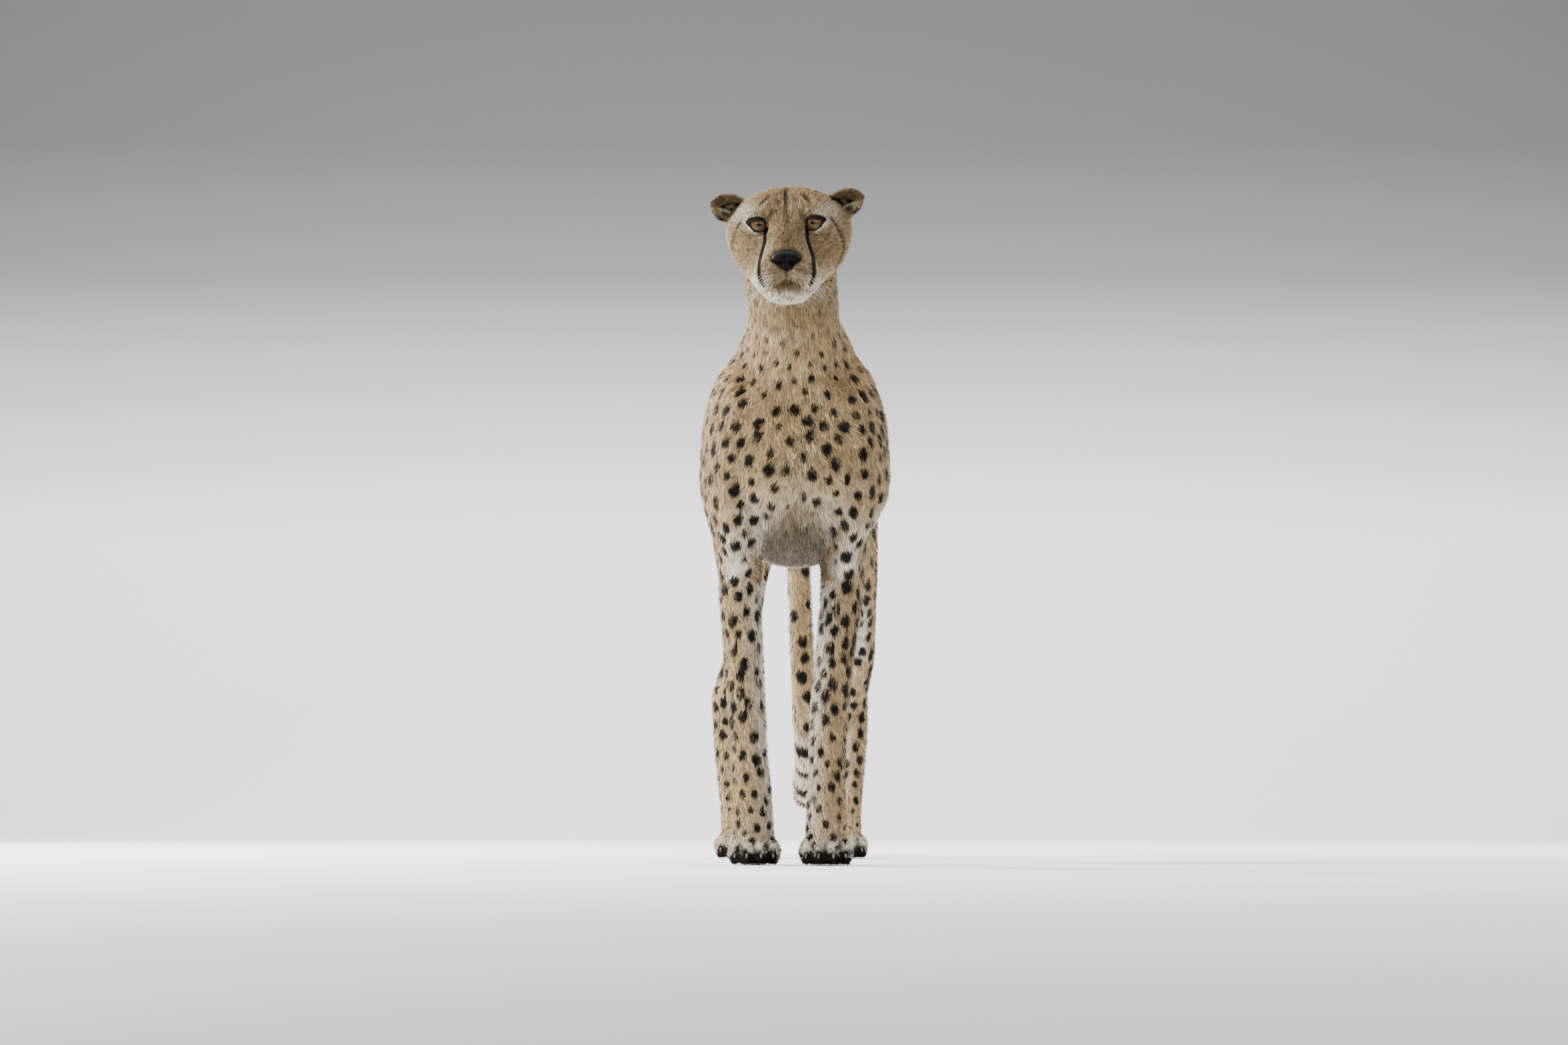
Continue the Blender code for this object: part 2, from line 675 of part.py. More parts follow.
THROAT = Plane((0, -0.098, EYE_HEIGHT - 0.068), (0, -0.66, 0.75), (CLEAR, 0.125))
NECK_ROOT = Plane((0, -0.045, 0.678), (0, -0.58, 0.81), (CLEAR, 0.15))
TAIL_ROOT = Plane((0, 0.762, 0.641), (0, 0.72, -0.69), (0.06, 0.045))
TAIL_MIDDLE = Plane((0, 0.858, 0.400), (0, 0.15, -1), (0.06, 0.05))
TAIL_END = Plane((0, 0.936, 0.140), (0, 0.72, -0.69), (0.06, 0.05))
RIBS = Plane((0, 0.300, 0.580), (0, 1, 0.12), (CLEAR, 0.25))
LOINS = Plane((0, 0.462, 0.600), (0, 1, 0.06), (CLEAR, 0.25))


class Socket(NamedTuple):
    """The oval wall round a limb's root: its middle (y, z), radii and depth (x)."""

    middle: tuple
    radii: tuple
    inner: float


SHOULDER = Socket((0.000, 0.520), (0.100, 0.165), 0.064)
HIP = Socket((0.600, 0.540), (0.118, 0.155), 0.048)


def slab(collection, plane):
    """A thin plate across the flesh."""
    bm = bmesh.new()
    size = Matrix.Diagonal((plane.spans[0] * 2, plane.spans[1] * 2, CUT, 1.0))
    turn = Vector(plane.facing).to_track_quat("Z", "Y").to_matrix().to_4x4()
    place = Matrix.Translation(plane.middle) @ turn @ size
    bmesh.ops.create_cube(bm, size=1.0, matrix=place)
    return object_of(bm, "plate", collection)


def cup(collection, side, socket):
    """A thin oval wall round a limb's root, closed by a thin floor at its inner side."""
    bm = bmesh.new()
    rings = []
    floor = socket.inner
    for shrink, x in ((0.0, floor), (0.0, CLEAR), (CUT, CLEAR), (CUT, floor + CUT)):
        ring = []
        for i in range(CUP_SIDES):
            turn = math.tau * i / CUP_SIDES
            y = socket.middle[0] + math.cos(turn) * (socket.radii[0] - shrink)
            z = socket.middle[1] + math.sin(turn) * (socket.radii[1] - shrink)
            ring.append(bm.verts.new((side * x, y, z)))
        rings.append(ring)
    for low, high in zip(rings, rings[1:]):
        for i in range(CUP_SIDES):
            j = (i + 1) % CUP_SIDES
            bm.faces.new((low[i], low[j], high[j], high[i]))
    bm.faces.new(rings[0][::-1])
    bm.faces.new(rings[-1])
    return object_of(bm, "cup", collection)


def subtract(piece, cutter):
    cut = piece.modifiers.new("cut", "BOOLEAN")
    cut.operation = "DIFFERENCE"
    cut.solver = "EXACT"
    cut.object = cutter
    apply_modifiers(piece)
    bpy.data.objects.remove(cutter, do_unlink=True)


def loose_pieces(mesh):
    """The mesh's faces in connected groups, largest first."""
    bm = bmesh.new()
    bm.from_mesh(mesh)
    bm.verts.ensure_lookup_table()
    group = {}
    groups = []
    for start in bm.verts:
        if start.index in group:
            continue
        members = [start]
        group[start.index] = len(groups)
        for vert in members:
            for edge in vert.link_edges:
                other = edge.other_vert(vert)
                if other.index not in group:
                    group[other.index] = len(groups)
                    members.append(other)
        groups.append(members)
    out = []
    for members in sorted(groups, key=len, reverse=True):
        kept = {v.index for v in members}
        part = bm.copy()
        part.verts.ensure_lookup_table()
        gone = [v for v in part.verts if v.index not in kept]
        bmesh.ops.delete(part, geom=gone, context="VERTS")
        out.append(part)
    bm.free()
    return out


def middle_of(bm):
    return sum((v.co for v in bm.verts), Vector()) / len(bm.verts)


def part_off(pieces, source, cutter, names):
    """Cuts one named piece and names what it falls into: names maps a name to a test."""
    piece = pieces.pop(source)
    collection = piece.users_collection[0]
    subtract(piece, cutter)
    found = {}
    for bm in loose_pieces(piece.data):
        if len(bm.verts) < SLIVER:
            bm.free()
            continue
        centre = middle_of(bm)
        for name, test in names.items():
            if name not in found and test(centre):
                found[name] = bm
                break
    bpy.data.objects.remove(piece, do_unlink=True)
    for name, bm in found.items():
        pieces[name] = object_of(bm, name, collection, FUR)
    missing = set(names) - set(found)
    if missing:
        raise ValueError(f"{source} did not part into {sorted(missing)}")


def part_ears(pieces, tools):
    for side, name in ((1, "left_ear"), (-1, "right_ear")):
        place = ear_matrix(side)
        root = place @ Vector((0, 0.004, 0.0090))
        across = Plane(root, place.to_3x3() @ Vector((0, 0, 1)), (0.027, 0.027))
        tests = {"head": lambda c: abs(c.x) < 0.03, name: lambda c: True}
        part_off(pieces, "head", slab(tools, across), tests)


def part_tail(pieces, tools):
    """The tail off the rump, in three lengths."""
    tests = {"tail_root": lambda c: c.y > 0.78, "body": lambda c: True}
    part_off(pieces, "body", slab(tools, TAIL_ROOT), tests)
    tests = {"tail_root": lambda c: c.z > 0.40, "tail_middle": lambda c: True}
    part_off(pieces, "tail_root", slab(tools, TAIL_MIDDLE), tests)
    tests = {"tail_middle": lambda c: c.z > 0.16, "tail_tip": lambda c: True}
    part_off(pieces, "tail_middle", slab(tools, TAIL_END), tests)


def part_foreleg(pieces, tools, foot):
    """Forearm and paw, off below the elbow and at the wrist."""
    side = math.copysign(1.0, foot.x)
    arm, paw = f"{foot.name}_forearm", f"{foot.name}_forepaw"
    elbow = Plane((side * 0.075, 0.03, 0.390), (0, 0, 1), (0.055, 0.10))
    tests = {arm: lambda c: c.z < 0.38 and c.y < 0.2, "body": lambda c: True}
    part_off(pieces, "body", slab(tools, elbow), tests)
    wrist = Plane((foot.x, foot.y, 0.122), (0, 0, 1), (0.05, 0.08))
    tests = {arm: lambda c: c.z > 0.13, paw: lambda c: True}
    part_off(pieces, arm, slab(tools, wrist), tests)


def part_hindleg(pieces, tools, foot):
    """Shank, metatarsus and paw, off at the stifle, the hock and above the toes."""
    side = math.copysign(1.0, foot.x)
    shank, low, paw = (f"{foot.name}_{part}" for part in ("shank", "metatarsus", "hindpaw"))
    stifle = Plane((side * 0.085, 0.585, 0.408), (0, -0.3, 1), (0.065, 0.12))
    tests = {shank: lambda c: c.z < 0.40 and c.y > 0.3, "body": lambda c: True}
    part_off(pieces, "body", slab(tools, stifle), tests)
    hock = Plane((foot.joint, foot.y + 0.060, 0.236), (0, -0.25, 1), (0.05, 0.07))
    tests = {shank: lambda c: c.z > 0.24, low: lambda c: True}
    part_off(pieces, shank, slab(tools, hock), tests)
    ankle = Plane((foot.x, foot.y + 0.036, 0.072), (0, -0.3, 1), (0.05, 0.06))
    tests = {low: lambda c: c.z > 0.075, paw: lambda c: True}
    part_off(pieces, low, slab(tools, ankle), tests)


def part_roots(pieces, tools, side, name):
    """The upper arm and the thigh, out of the trunk's side."""
    tests = {f"{name}_upper_arm": lambda c: side * c.x > 0.07 and c.y < 0.2, "body": lambda c: True}
    part_off(pieces, "body", cup(tools, side, SHOULDER), tests)
    tests = {f"{name}_thigh": lambda c: side * c.x > 0.05 and c.y > 0.3, "body": lambda c: True}
    part_off(pieces, "body", cup(tools, side, HIP), tests)


def part_body(body):
    """Head, ears, neck, trunk, tail and limbs, each a piece of its own."""
    tools = new_collection("cutters", hidden=True)
    pieces = {"body": body}
    tests = {"head": lambda c: c.z > 0.80 and c.y < -0.10, "body": lambda c: True}
    part_off(pieces, "body", slab(tools, THROAT), tests)
    part_ears(pieces, tools)
    tests = {"neck": lambda c: c.z > 0.68 and c.y < 0.05, "body": lambda c: True}
    part_off(pieces, "body", slab(tools, NECK_ROOT), tests)
    part_tail(pieces, tools)
    for foot in FORE_FEET:
        part_foreleg(pieces, tools, foot)
    for foot in HIND_FEET:
        part_hindleg(pieces, tools, foot)
    for side, name in ((1, "left"), (-1, "right")):
        part_roots(pieces, tools, side, name)
    tests = {"thorax": lambda c: c.y < 0.28, "body": lambda c: True}
    part_off(pieces, "body", slab(tools, RIBS), tests)
    tests = {"abdomen": lambda c: c.y < 0.45, "rump": lambda c: True}
    part_off(pieces, "body", slab(tools, LOINS), tests)
    return pieces, tools


def set_in_beds(pieces, collection, tools):
    """Eyes, nose leather and claws, each in a bed cut a little larger than itself."""
    for side, name in ((1, "left"), (-1, "right")):
        subtract(pieces["head"], eyeball(side, BED, "bed", tools))
        pieces[f"{name}_eye"] = eyeball(side, 0.0, f"{name}_eye", collection, EYE)
    subtract(pieces["head"], nose_leather(BED, "bed", tools))
    pieces["nose"] = nose_leather(0.0, "nose", collection, DARK_SKIN)
    for feet, is_fore in ((FORE_FEET, True), (HIND_FEET, False)):
        paw = "forepaw" if is_fore else "hindpaw"
        for foot in feet:
            for i, (place, size) in enumerate(claw_places(foot, is_fore), 1):
                subtract(pieces[f"{foot.name}_{paw}"], claw_of(place, size, BED, "bed", tools))
                label = "dewclaw" if i == 5 else f"claw_{i}"
                name = f"{foot.name}_{paw[:4]}_{label}"
                pieces[name] = claw_of(place, size, 0.0, name, collection, CLAW)


def merge_flats(pieces):
    """Makes one face of the many that a cut leaves in one plane, then triangles again."""
    for piece in pieces.values():
        bm = bmesh.new()
        bm.from_mesh(piece.data)
        bmesh.ops.dissolve_limit(bm, angle_limit=FLAT, verts=bm.verts, edges=bm.edges)
        bmesh.ops.triangulate(bm, faces=bm.faces)
        bm.to_mesh(piece.data)
        bm.free()
        piece.data.set_sharp_from_angle(angle=CREASE)


def centre_on_floor(pieces):
    """Moves the whole figure so that the origin is the middle of its footprint."""
    spots = np.vstack([points_of(piece.data) for piece in pieces.values()])
    low, high = spots.min(axis=0), spots.max(axis=0)
    shift = Vector((-(low[0] + high[0]) / 2, -(low[1] + high[1]) / 2, -low[2]))
    for piece in pieces.values():
        piece.data.transform(Matrix.Translation(shift))


# ------------------------------------------------------------------ assembly
def main():
    clear_scene()
    parts = new_collection("cheetah")
    body = joined_body(parts)
    pieces, tools = part_body(body)
    set_in_beds(pieces, parts, tools)
    merge_flats(pieces)
    centre_on_floor(pieces)


main()
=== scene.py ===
"""Looks for a life-size standing cheetah: one skin, its coat, eyes, nose, claws and whiskers.

The flesh nodes are closed into one skin, which lies inside them by the coat's depth and carries
the folds of the face. The coat is tufts of short hair along its lie. Skin and coat take their
markings from the same functions.
"""

import math
from typing import NamedTuple

import bmesh
import bpy
import numpy as np
from bpy.props import FloatProperty, FloatVectorProperty, IntProperty, PointerProperty
from mathutils import Matrix, Vector
from mathutils.bvhtree import BVHTree
from mathutils.kdtree import KDTree


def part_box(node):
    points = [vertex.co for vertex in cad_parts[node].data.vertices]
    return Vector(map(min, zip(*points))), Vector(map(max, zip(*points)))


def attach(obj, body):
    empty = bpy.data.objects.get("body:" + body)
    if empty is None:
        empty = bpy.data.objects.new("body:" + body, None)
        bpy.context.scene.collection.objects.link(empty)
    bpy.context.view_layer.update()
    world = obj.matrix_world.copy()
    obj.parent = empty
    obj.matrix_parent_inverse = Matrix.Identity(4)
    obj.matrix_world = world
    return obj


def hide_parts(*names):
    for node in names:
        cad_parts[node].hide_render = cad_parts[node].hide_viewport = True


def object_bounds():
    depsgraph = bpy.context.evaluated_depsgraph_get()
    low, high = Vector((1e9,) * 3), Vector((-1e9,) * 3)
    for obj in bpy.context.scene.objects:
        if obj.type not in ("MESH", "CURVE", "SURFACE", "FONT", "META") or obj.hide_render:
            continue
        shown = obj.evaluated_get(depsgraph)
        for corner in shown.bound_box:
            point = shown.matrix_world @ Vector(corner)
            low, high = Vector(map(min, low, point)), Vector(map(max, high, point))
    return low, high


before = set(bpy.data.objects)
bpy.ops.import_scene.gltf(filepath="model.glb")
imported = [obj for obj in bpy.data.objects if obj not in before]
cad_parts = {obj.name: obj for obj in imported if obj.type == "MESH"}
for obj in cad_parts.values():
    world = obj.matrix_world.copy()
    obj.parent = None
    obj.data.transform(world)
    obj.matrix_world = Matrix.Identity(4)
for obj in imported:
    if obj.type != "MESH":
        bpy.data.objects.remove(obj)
frame_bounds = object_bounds()

bl_info = {
    "name": "Standing Cheetah",
    "version": (1, 0, 0),
    "blender": (4, 5, 0),
    "location": "View3D > Sidebar > Cheetah",
    "description": "Dresses a life-size cheetah: skin, spotted coat, eyes, nose, claws, whiskers",
    "category": "Object",
}

# what one step of the dressing leaves for the next
bench = {}


# ------------------------------------------------------------------ sizes and colours
def a_length(name, about, value, low=0.0):
    return FloatProperty(name=name, description=about, default=value, min=low, unit="LENGTH")


def a_share(name, about, value):
    return FloatProperty(name=name, description=about, default=value, min=0, max=1)


def a_colour(name, about, value):
    return FloatVectorProperty(
        name=name, description=about, default=value, min=0, max=1, subtype="COLOR"
    )


def a_number(name, about, value):
    return IntProperty(name=name, description=about, default=value, min=0)


class CheetahSkinSettings(bpy.types.PropertyGroup):
    grain: a_length("Grain", "Size of the skin's facets before the face is refined", 0.003, 0.002)
    body_share: a_share("Body share", "Share of the facets kept away from the head", 0.26)
    coat_depth: a_share("Coat depth", "Share of the hair's length that the skin lies inside", 0.26)


class CheetahMarkingSettings(bpy.types.PropertyGroup):
    tawny: a_colour("Tawny", "Colour of the back", (0.42, 0.262, 0.122))
    buff: a_colour("Buff", "Colour of the flanks, neck and legs", (0.505, 0.36, 0.20))
    cream: a_colour("Cream", "Colour of the belly and inner legs", (0.82, 0.745, 0.62))
    black: a_colour("Black", "Colour of the spots and tear lines", (0.010, 0.0075, 0.0065))
    seed: a_number("Seed", "Which scatter of spots", 7)


class CheetahCoatSettings(bpy.types.PropertyGroup):
    body_tufts: a_number("Body tufts", "Tufts on the body, legs and tail", 300000)
    head_tufts: a_number("Head tufts", "Tufts on the head and ears", 160000)
    seed: a_number("Seed", "Which scatter of tufts", 3)


class CheetahFaceSettings(bpy.types.PropertyGroup):
    iris: a_colour("Iris", "Colour of the eyes", (0.105, 0.056, 0.019))
    whisker_length: a_length("Whisker length", "Length of the longest whisker", 0.046)
    whiskers: a_number("Whiskers", "Whiskers on each side", 16)


class CheetahStageSettings(bpy.types.PropertyGroup):
    distance: a_length("Camera distance", "From the camera to the fore paws", 5.6, 0.5)
    camera_height: a_length("Camera height", "Of the camera above the floor", 0.09, 0.02)
    view_width: a_length("View width", "Width of the view at the fore paws", 2.13, 0.1)
    aim_height: a_length("Aim height", "Height that the camera looks at", 0.466)
    aim_side: a_length("Aim side", "How far to the animal's left it looks", -0.0154, -1.0)


SETTINGS = {
    "cheetah_skin": CheetahSkinSettings,
    "cheetah_markings": CheetahMarkingSettings,
    "cheetah_coat": CheetahCoatSettings,
    "cheetah_face": CheetahFaceSettings,
    "cheetah_stage": CheetahStageSettings,
}


# ------------------------------------------------------------------ small helpers
def rise(low, high, values):
    """0 up to low, 1 from high on, and smooth between them."""
    share = np.clip((values - low) / (high - low), 0, 1)
    return share * share * (3 - 2 * share)


def fall(low, high, values):
    """1 up to low, 0 from high on, and smooth between them."""
    return 1 - rise(low, high, values)


def bump_at(values, middle, spread):
    """1 at the middle, falling off smoothly with distance."""
    return np.exp(-0.5 * ((values - middle) / spread) ** 2)


def unit(vectors):
    return vectors / np.maximum(np.linalg.norm(vectors, axis=-1, keepdims=True), 1e-9)


def mix(first, second, share):
    return first + (second - first) * share[:, None]


def laid_flat(vectors, normals):
    """The vectors less what points out of the surface."""
    return vectors - (vectors * normals).sum(axis=1, keepdims=True) * normals


def read(items, key, width, kind=np.float32):
    """One row of numbers for each item."""
    flat = np.empty(len(items) * width, kind)
    items.foreach_get(key, flat)
    return flat.reshape(-1, width)


def points_of(mesh):
    return read(mesh.vertices, "co", 3).astype(float)


def normals_of(mesh):
    return read(mesh.vertex_normals, "vector", 3).astype(float)


def triangles_of(mesh):
    mesh.calc_loop_triangles()
    return read(mesh.loop_triangles, "vertices", 3, np.int32)


def tree_of(mesh):
    return BVHTree.FromPolygons(points_of(mesh).tolist(), triangles_of(mesh).tolist())


def tree_of_points(points):
    tree = KDTree(len(points))
    for i, spot in enumerate(points):
        tree.insert(spot, i)
    tree.balance()
    return tree


def move_points(mesh, spots):
    mesh.vertices.foreach_set("co", spots.astype(np.float32).ravel())
    mesh.update()


def modified(obj, kind, **values):
    """Gives the object the shape that one modifier makes of it."""
    added = obj.modifiers.new("step", kind)
    for key, value in values.items():
        setattr(added, key, value)
    graph = bpy.context.evaluated_depsgraph_get()
    bpy.context.view_layer.update()
    mesh = bpy.data.meshes.new_from_object(obj.evaluated_get(graph), depsgraph=graph)
    obj.modifiers.clear()
    obj.data = mesh


def linked(name, data):
    made = bpy.data.objects.new(name, data)
    bpy.context.scene.collection.objects.link(made)
    return made


def dressed(name, mesh, material, slot, *replaced):
    """Hangs a piece in the scene, in place of the nodes that it stands for."""
    made = linked(name, mesh)
    mesh.materials.append(material)
    if replaced:
        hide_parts(*replaced)
    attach(made, "root")


def mesh_from(bm, name):
    mesh = bpy.data.meshes.new(name)
    bm.to_mesh(mesh)
    bm.free()
    return mesh


def joined(name, points, faces):
    """A mesh from arrays of points and triangles."""
    mesh = bpy.data.meshes.new(name)
    mesh.vertices.add(len(points))
    mesh.vertices.foreach_set("co", points.astype(np.float32).ravel())
    mesh.loops.add(faces.size)
    mesh.loops.foreach_set("vertex_index", faces.astype(np.int32).ravel())
    mesh.polygons.add(len(faces))
    mesh.polygons.foreach_set("loop_start", np.arange(0, faces.size, 3, dtype=np.int32))
    mesh.update(calc_edges=True)
    mesh.shade_smooth()
    return mesh


def paint(mesh, colours):
    """Stores each vertex's colour of the markings."""
    layer = mesh.color_attributes.new(name="markings", type="FLOAT_COLOR", domain="POINT")
    full = np.ones((len(colours), 4), np.float32)
    full[:, :3] = np.clip(colours, 0, 1)
    layer.data.foreach_set("color", full.ravel())


def nodes_of(*words):
    """The frame's nodes whose names end with one of the words."""
    return [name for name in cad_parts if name.endswith(words)]


def box_middle(node):
    low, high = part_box(node)
    return (low + high) / 2


def cloud_noise(points, size, seed):
    """Smooth noise from -1 to 1 on points, from a few waves in random directions."""
    draw = np.random.default_rng(seed)
    total = np.zeros(len(points))
    for octave in range(3):
        for _ in range(5):
            wave = unit(draw.normal(size=3)) * (2 * math.pi / (size / 1.9**octave))
            total += np.sin(points @ wave + draw.uniform(0, 6.28)) / (1 + octave)
    return total / 4.2


def spread_out(mesh, values, rounds):
    """Values at each vertex, averaged with its neighbours' this many times."""
    first, second = read(mesh.edges, "vertices", 2, np.int32).T
    count = len(mesh.vertices)
    number = np.bincount(first, minlength=count) + np.bincount(second, minlength=count)
    for _ in range(rounds):
        fresh = np.empty_like(values)
        for axis, column in enumerate(values.T):
            total = np.bincount(first, column[second], count)
            total += np.bincount(second, column[first], count)
            fresh[:, axis] = 0.3 * column + 0.7 * total / np.maximum(number, 1)
        values = fresh
    return values


def spread_one(mesh, values, rounds):
    return spread_out(mesh, values[:, None], rounds)[:, 0]


# ------------------------------------------------------------------ the head's own frame
EYE_FORWARD = 0.0040  # the eyeballs' middles, ahead of the eye line
NOSE_AHEAD, NOSE_UP = 0.0785, -0.0490  # the nose's middle, from the eye line's middle
NOSE_HALF = (0.0198, 0.0130, 0.0136)
NOSE_SET = 0.0030  # how far the leather is set back into the muzzle


def head_axes():
    """The eye line's middle, and the head's axes: left, back and up."""
    left, right = box_middle("left_eye"), box_middle("right_eye")
    middle = (left + right) / 2
    across = (left - right).normalized()
    ahead = box_middle("nose") - middle
    ahead = (ahead - across * ahead.dot(across)).normalized()
    lifted = across.cross(ahead)
    forward, up = Vector((NOSE_AHEAD - EYE_FORWARD, NOSE_UP)).normalized()
    back = -forward * ahead - up * lifted
    top = up * ahead - forward * lifted
    return np.array(middle + back * EYE_FORWARD), np.array((across, back, top))


HEAD_MIDDLE, HEAD_AXES = head_axes()
EYE_OUT = (box_middle("left_eye") - box_middle("right_eye")).length / 2


def to_head(points):
    """(left, forward, up) from the eye line's middle."""
    local = (points - HEAD_MIDDLE) @ HEAD_AXES.T
    local[:, 1] *= -1
    return local


def from_head(local):
    return local * (1, -1, 1) @ HEAD_AXES + HEAD_MIDDLE


def folded(local):
    """Places on the face as if all were on its left side."""
    return np.column_stack([np.abs(local[:, 0]), local[:, 1:]])


# ------------------------------------------------------------------ regions of the body
class Region(NamedTuple):
    """How the coat is on one part of the body. Lengths in metres; lie is where it points."""

    hair: float
    width: float
    spot: float  # radius of a spot
    gap: float  # between two spots' middles
    lie: tuple
    stand: float  # degrees that a tuft rises off the skin


REGIONS = {
    "head": Region(0.0050, 0.00046, 0.0020, 0.0110, (0, 1, 0), 23),
    "ear": Region(0.0046, 0.00050, 0.0, 0.0110, (0, 0, 1), 24),
    "neck": Region(0.0095, 0.00066, 0.0046, 0.0180, (0, 0.45, -0.9), 15),
    "thorax": Region(0.0105, 0.00080, 0.0079, 0.0213, (0, 1, -0.30), 14),
    "abdomen": Region(0.0110, 0.00085, 0.0092, 0.0270, (0, 1, -0.30), 14),
    "rump": Region(0.0110, 0.00085, 0.0092, 0.0265, (0, 1, -0.45), 14),
    "upper_arm": Region(0.0098, 0.00078, 0.0078, 0.0203, (0, 0.45, -1), 14),
    "forearm": Region(0.0092, 0.00076, 0.0074, 0.0176, (0, 0.15, -1), 18),
    "forepaw": Region(0.0058, 0.00066, 0.0054, 0.0162, (0, -0.35, -1), 18),
    "thigh": Region(0.0105, 0.00085, 0.0086, 0.0245, (0, 0.50, -1), 14),
    "shank": Region(0.0090, 0.00080, 0.0082, 0.0188, (0, 0.60, -1), 14),
    "metatarsus": Region(0.0078, 0.00076, 0.0064, 0.0165, (0, 0.10, -1), 17),
    "hindpaw": Region(0.0052, 0.00070, 0.0030, 0.0170, (0, -0.45, -1), 15),
    "tail_root": Region(0.0110, 0.00090, 0.0086, 0.0280, (0, 1, -1), 15),
    "tail_middle": Region(0.0115, 0.00090, 0.0090, 0.0260, (0, 0.3, -1), 15),
    "tail_tip": Region(0.0150, 0.00090, 0.0, 0.0260, (0, 1, 0), 20),
}
REGION_NAMES = np.array(list(REGIONS))
LIMBS = ("upper_arm", "forearm", "forepaw", "thigh", "shank", "metatarsus", "hindpaw")
PAWS = ("forepaw", "hindpaw")
REGION_TABLE = {
    key: np.array([getattr(region, key) for region in REGIONS.values()], float)
    for key in Region._fields
}


# ------------------------------------------------------------------ skin: closing the flesh
CUT_COVER = 0.0004  # each flesh piece grows by this, which closes the parting cuts
FILL_GROW, FILL_BACK = 0.0012, 0.0022  # of the balls that fill the eyes' and nose's beds


def flesh_shapes():
    """The flesh's points, the same grown a little, its triangles and each one's region."""
    parts, offset = [], 0
    for name in nodes_of(*REGIONS):
        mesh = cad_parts[name].data
        spots, corners = points_of(mesh), triangles_of(mesh)
        region = next(i for i, word in enumerate(REGIONS) if name.endswith(word))
        grown = spots + normals_of(mesh) * CUT_COVER
        parts.append((spots, grown, corners + offset, np.full(len(corners), region)))
        offset += len(spots)
    return [np.concatenate(column) for column in zip(*parts)]


def closed_flesh(grain):
    """All the flesh as one closed surface, which runs across the eyes' and nose's beds."""
    points, grown, faces, regions = flesh_shapes()
    bm = bmesh.new()
    for node in ("left_eye", "right_eye", "nose"):
        low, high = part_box(node)
        radii = [(h - l) / 2 + FILL_GROW for l, h in zip(low, high)]
        place = Matrix.Translation(box_middle(node) + Vector((0, FILL_BACK, 0)))
        place = place @ Matrix.Diagonal((*radii, 1.0))
        bmesh.ops.create_uvsphere(bm, u_segments=32, v_segments=20, radius=1.0, matrix=place)
    fill = mesh_from(bm, "fill")
    bm = bmesh.new()
    bm.from_mesh(joined("grown", grown, faces))
    bm.from_mesh(fill)
    skin = linked("skin", mesh_from(bm, "skin"))
    modified(skin, "REMESH", mode="VOXEL", voxel_size=grain)
    bench["flesh_tree"] = BVHTree.FromPolygons(points.tolist(), faces.tolist())
    bench["flesh_regions"] = regions
    return skin


def regions_at(points):
    """The region of the flesh nearest to each point."""
    tree = bench["flesh_tree"]
    return bench["flesh_regions"][[tree.find_nearest(p)[2] for p in points.tolist()]]


def group_of(obj, weights):
    """A vertex group of these weights, in tenths."""
    obj.vertex_groups.clear()
    group = obj.vertex_groups.new(name="chosen")
    levels = np.round(weights * 10).astype(int)
    for level in range(1, 11):
        members = np.nonzero(levels == level)[0].tolist()
        if members:
            group.add(members, level / 10, "REPLACE")


def smoothed(obj, weights, rounds):
    group_of(obj, weights)
    modified(obj, "SMOOTH", factor=0.6, iterations=rounds, vertex_group="chosen")


def headness(points):
    """1 on the face and ears, 0 on the body."""
    from_face = np.linalg.norm(to_head(points) - (0, -0.012, -0.020), axis=1)
    return fall(0.115, 0.145, from_face)


def off_tail(points):
    """True ahead of the tail's end, so on the paws among what is near the floor."""
    return points[:, 1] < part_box("tail_tip")[0].y


def pawness(points):
    return fall(0.045, 0.085, points[:, 2]) * off_tail(points)


def refine(obj, chosen):
    """Splits every edge between two chosen points."""
    bm = bmesh.new()
    bm.from_mesh(obj.data)
    bm.verts.ensure_lookup_table()
    edges = [e for e in bm.edges if chosen[e.verts[0].index] and chosen[e.verts[1].index]]
    bmesh.ops.subdivide_edges(bm, edges=edges, cuts=1, use_grid_fill=True)
    bmesh.ops.triangulate(bm, faces=[f for f in bm.faces if len(f.verts) > 4])
    bm.to_mesh(obj.data)
    bm.free()


def thin_body(obj, share):
    """Fewer facets on the body, away from the head."""
    chosen = headness(points_of(obj.data)) < 0.5
    touched = chosen[triangles_of(obj.data)].any(axis=1).mean()
    group_of(obj, chosen.astype(float))
    modified(obj, "DECIMATE", ratio=1 - touched * (1 - share), vertex_group="chosen")


def settle_under_coat(skin, share):
    """Moves the smoothed skin back to the flesh, less the depth of the coat that lies on it."""
    spots, normals = points_of(skin.data), normals_of(skin.data)
    depth = share * hair_lengths(skin, regions_at(spots))
    found = [bench["flesh_tree"].find_nearest(p)[:2] for p in spots.tolist()]
    nearest, facing = (np.array(column) for column in zip(*found))
    outside = ((spots - nearest) * facing).sum(axis=1)
    step = spread_one(skin.data, np.clip(-depth - outside, -0.008, 0.008), 30)
    move_points(skin.data, spots + normals * step[:, None])


# ------------------------------------------------------------------ skin: the face's folds
EYE_RADIUS = 0.0172
# the eye's opening, out and up from the eyeball's middle, from its outer corner over the top
EYE_OPENING = (
    (0.0098, 0.0032), (0.0060, 0.0051), (-0.0007, 0.0062), (-0.0074, 0.0059), (-0.0099, 0.0040),
    (-0.0106, -0.0007), (-0.0100, -0.0061), (-0.0050, -0.0081), (0.0000, -0.0078),
    (0.0055, -0.0046), (0.0087, 0.0000),
)
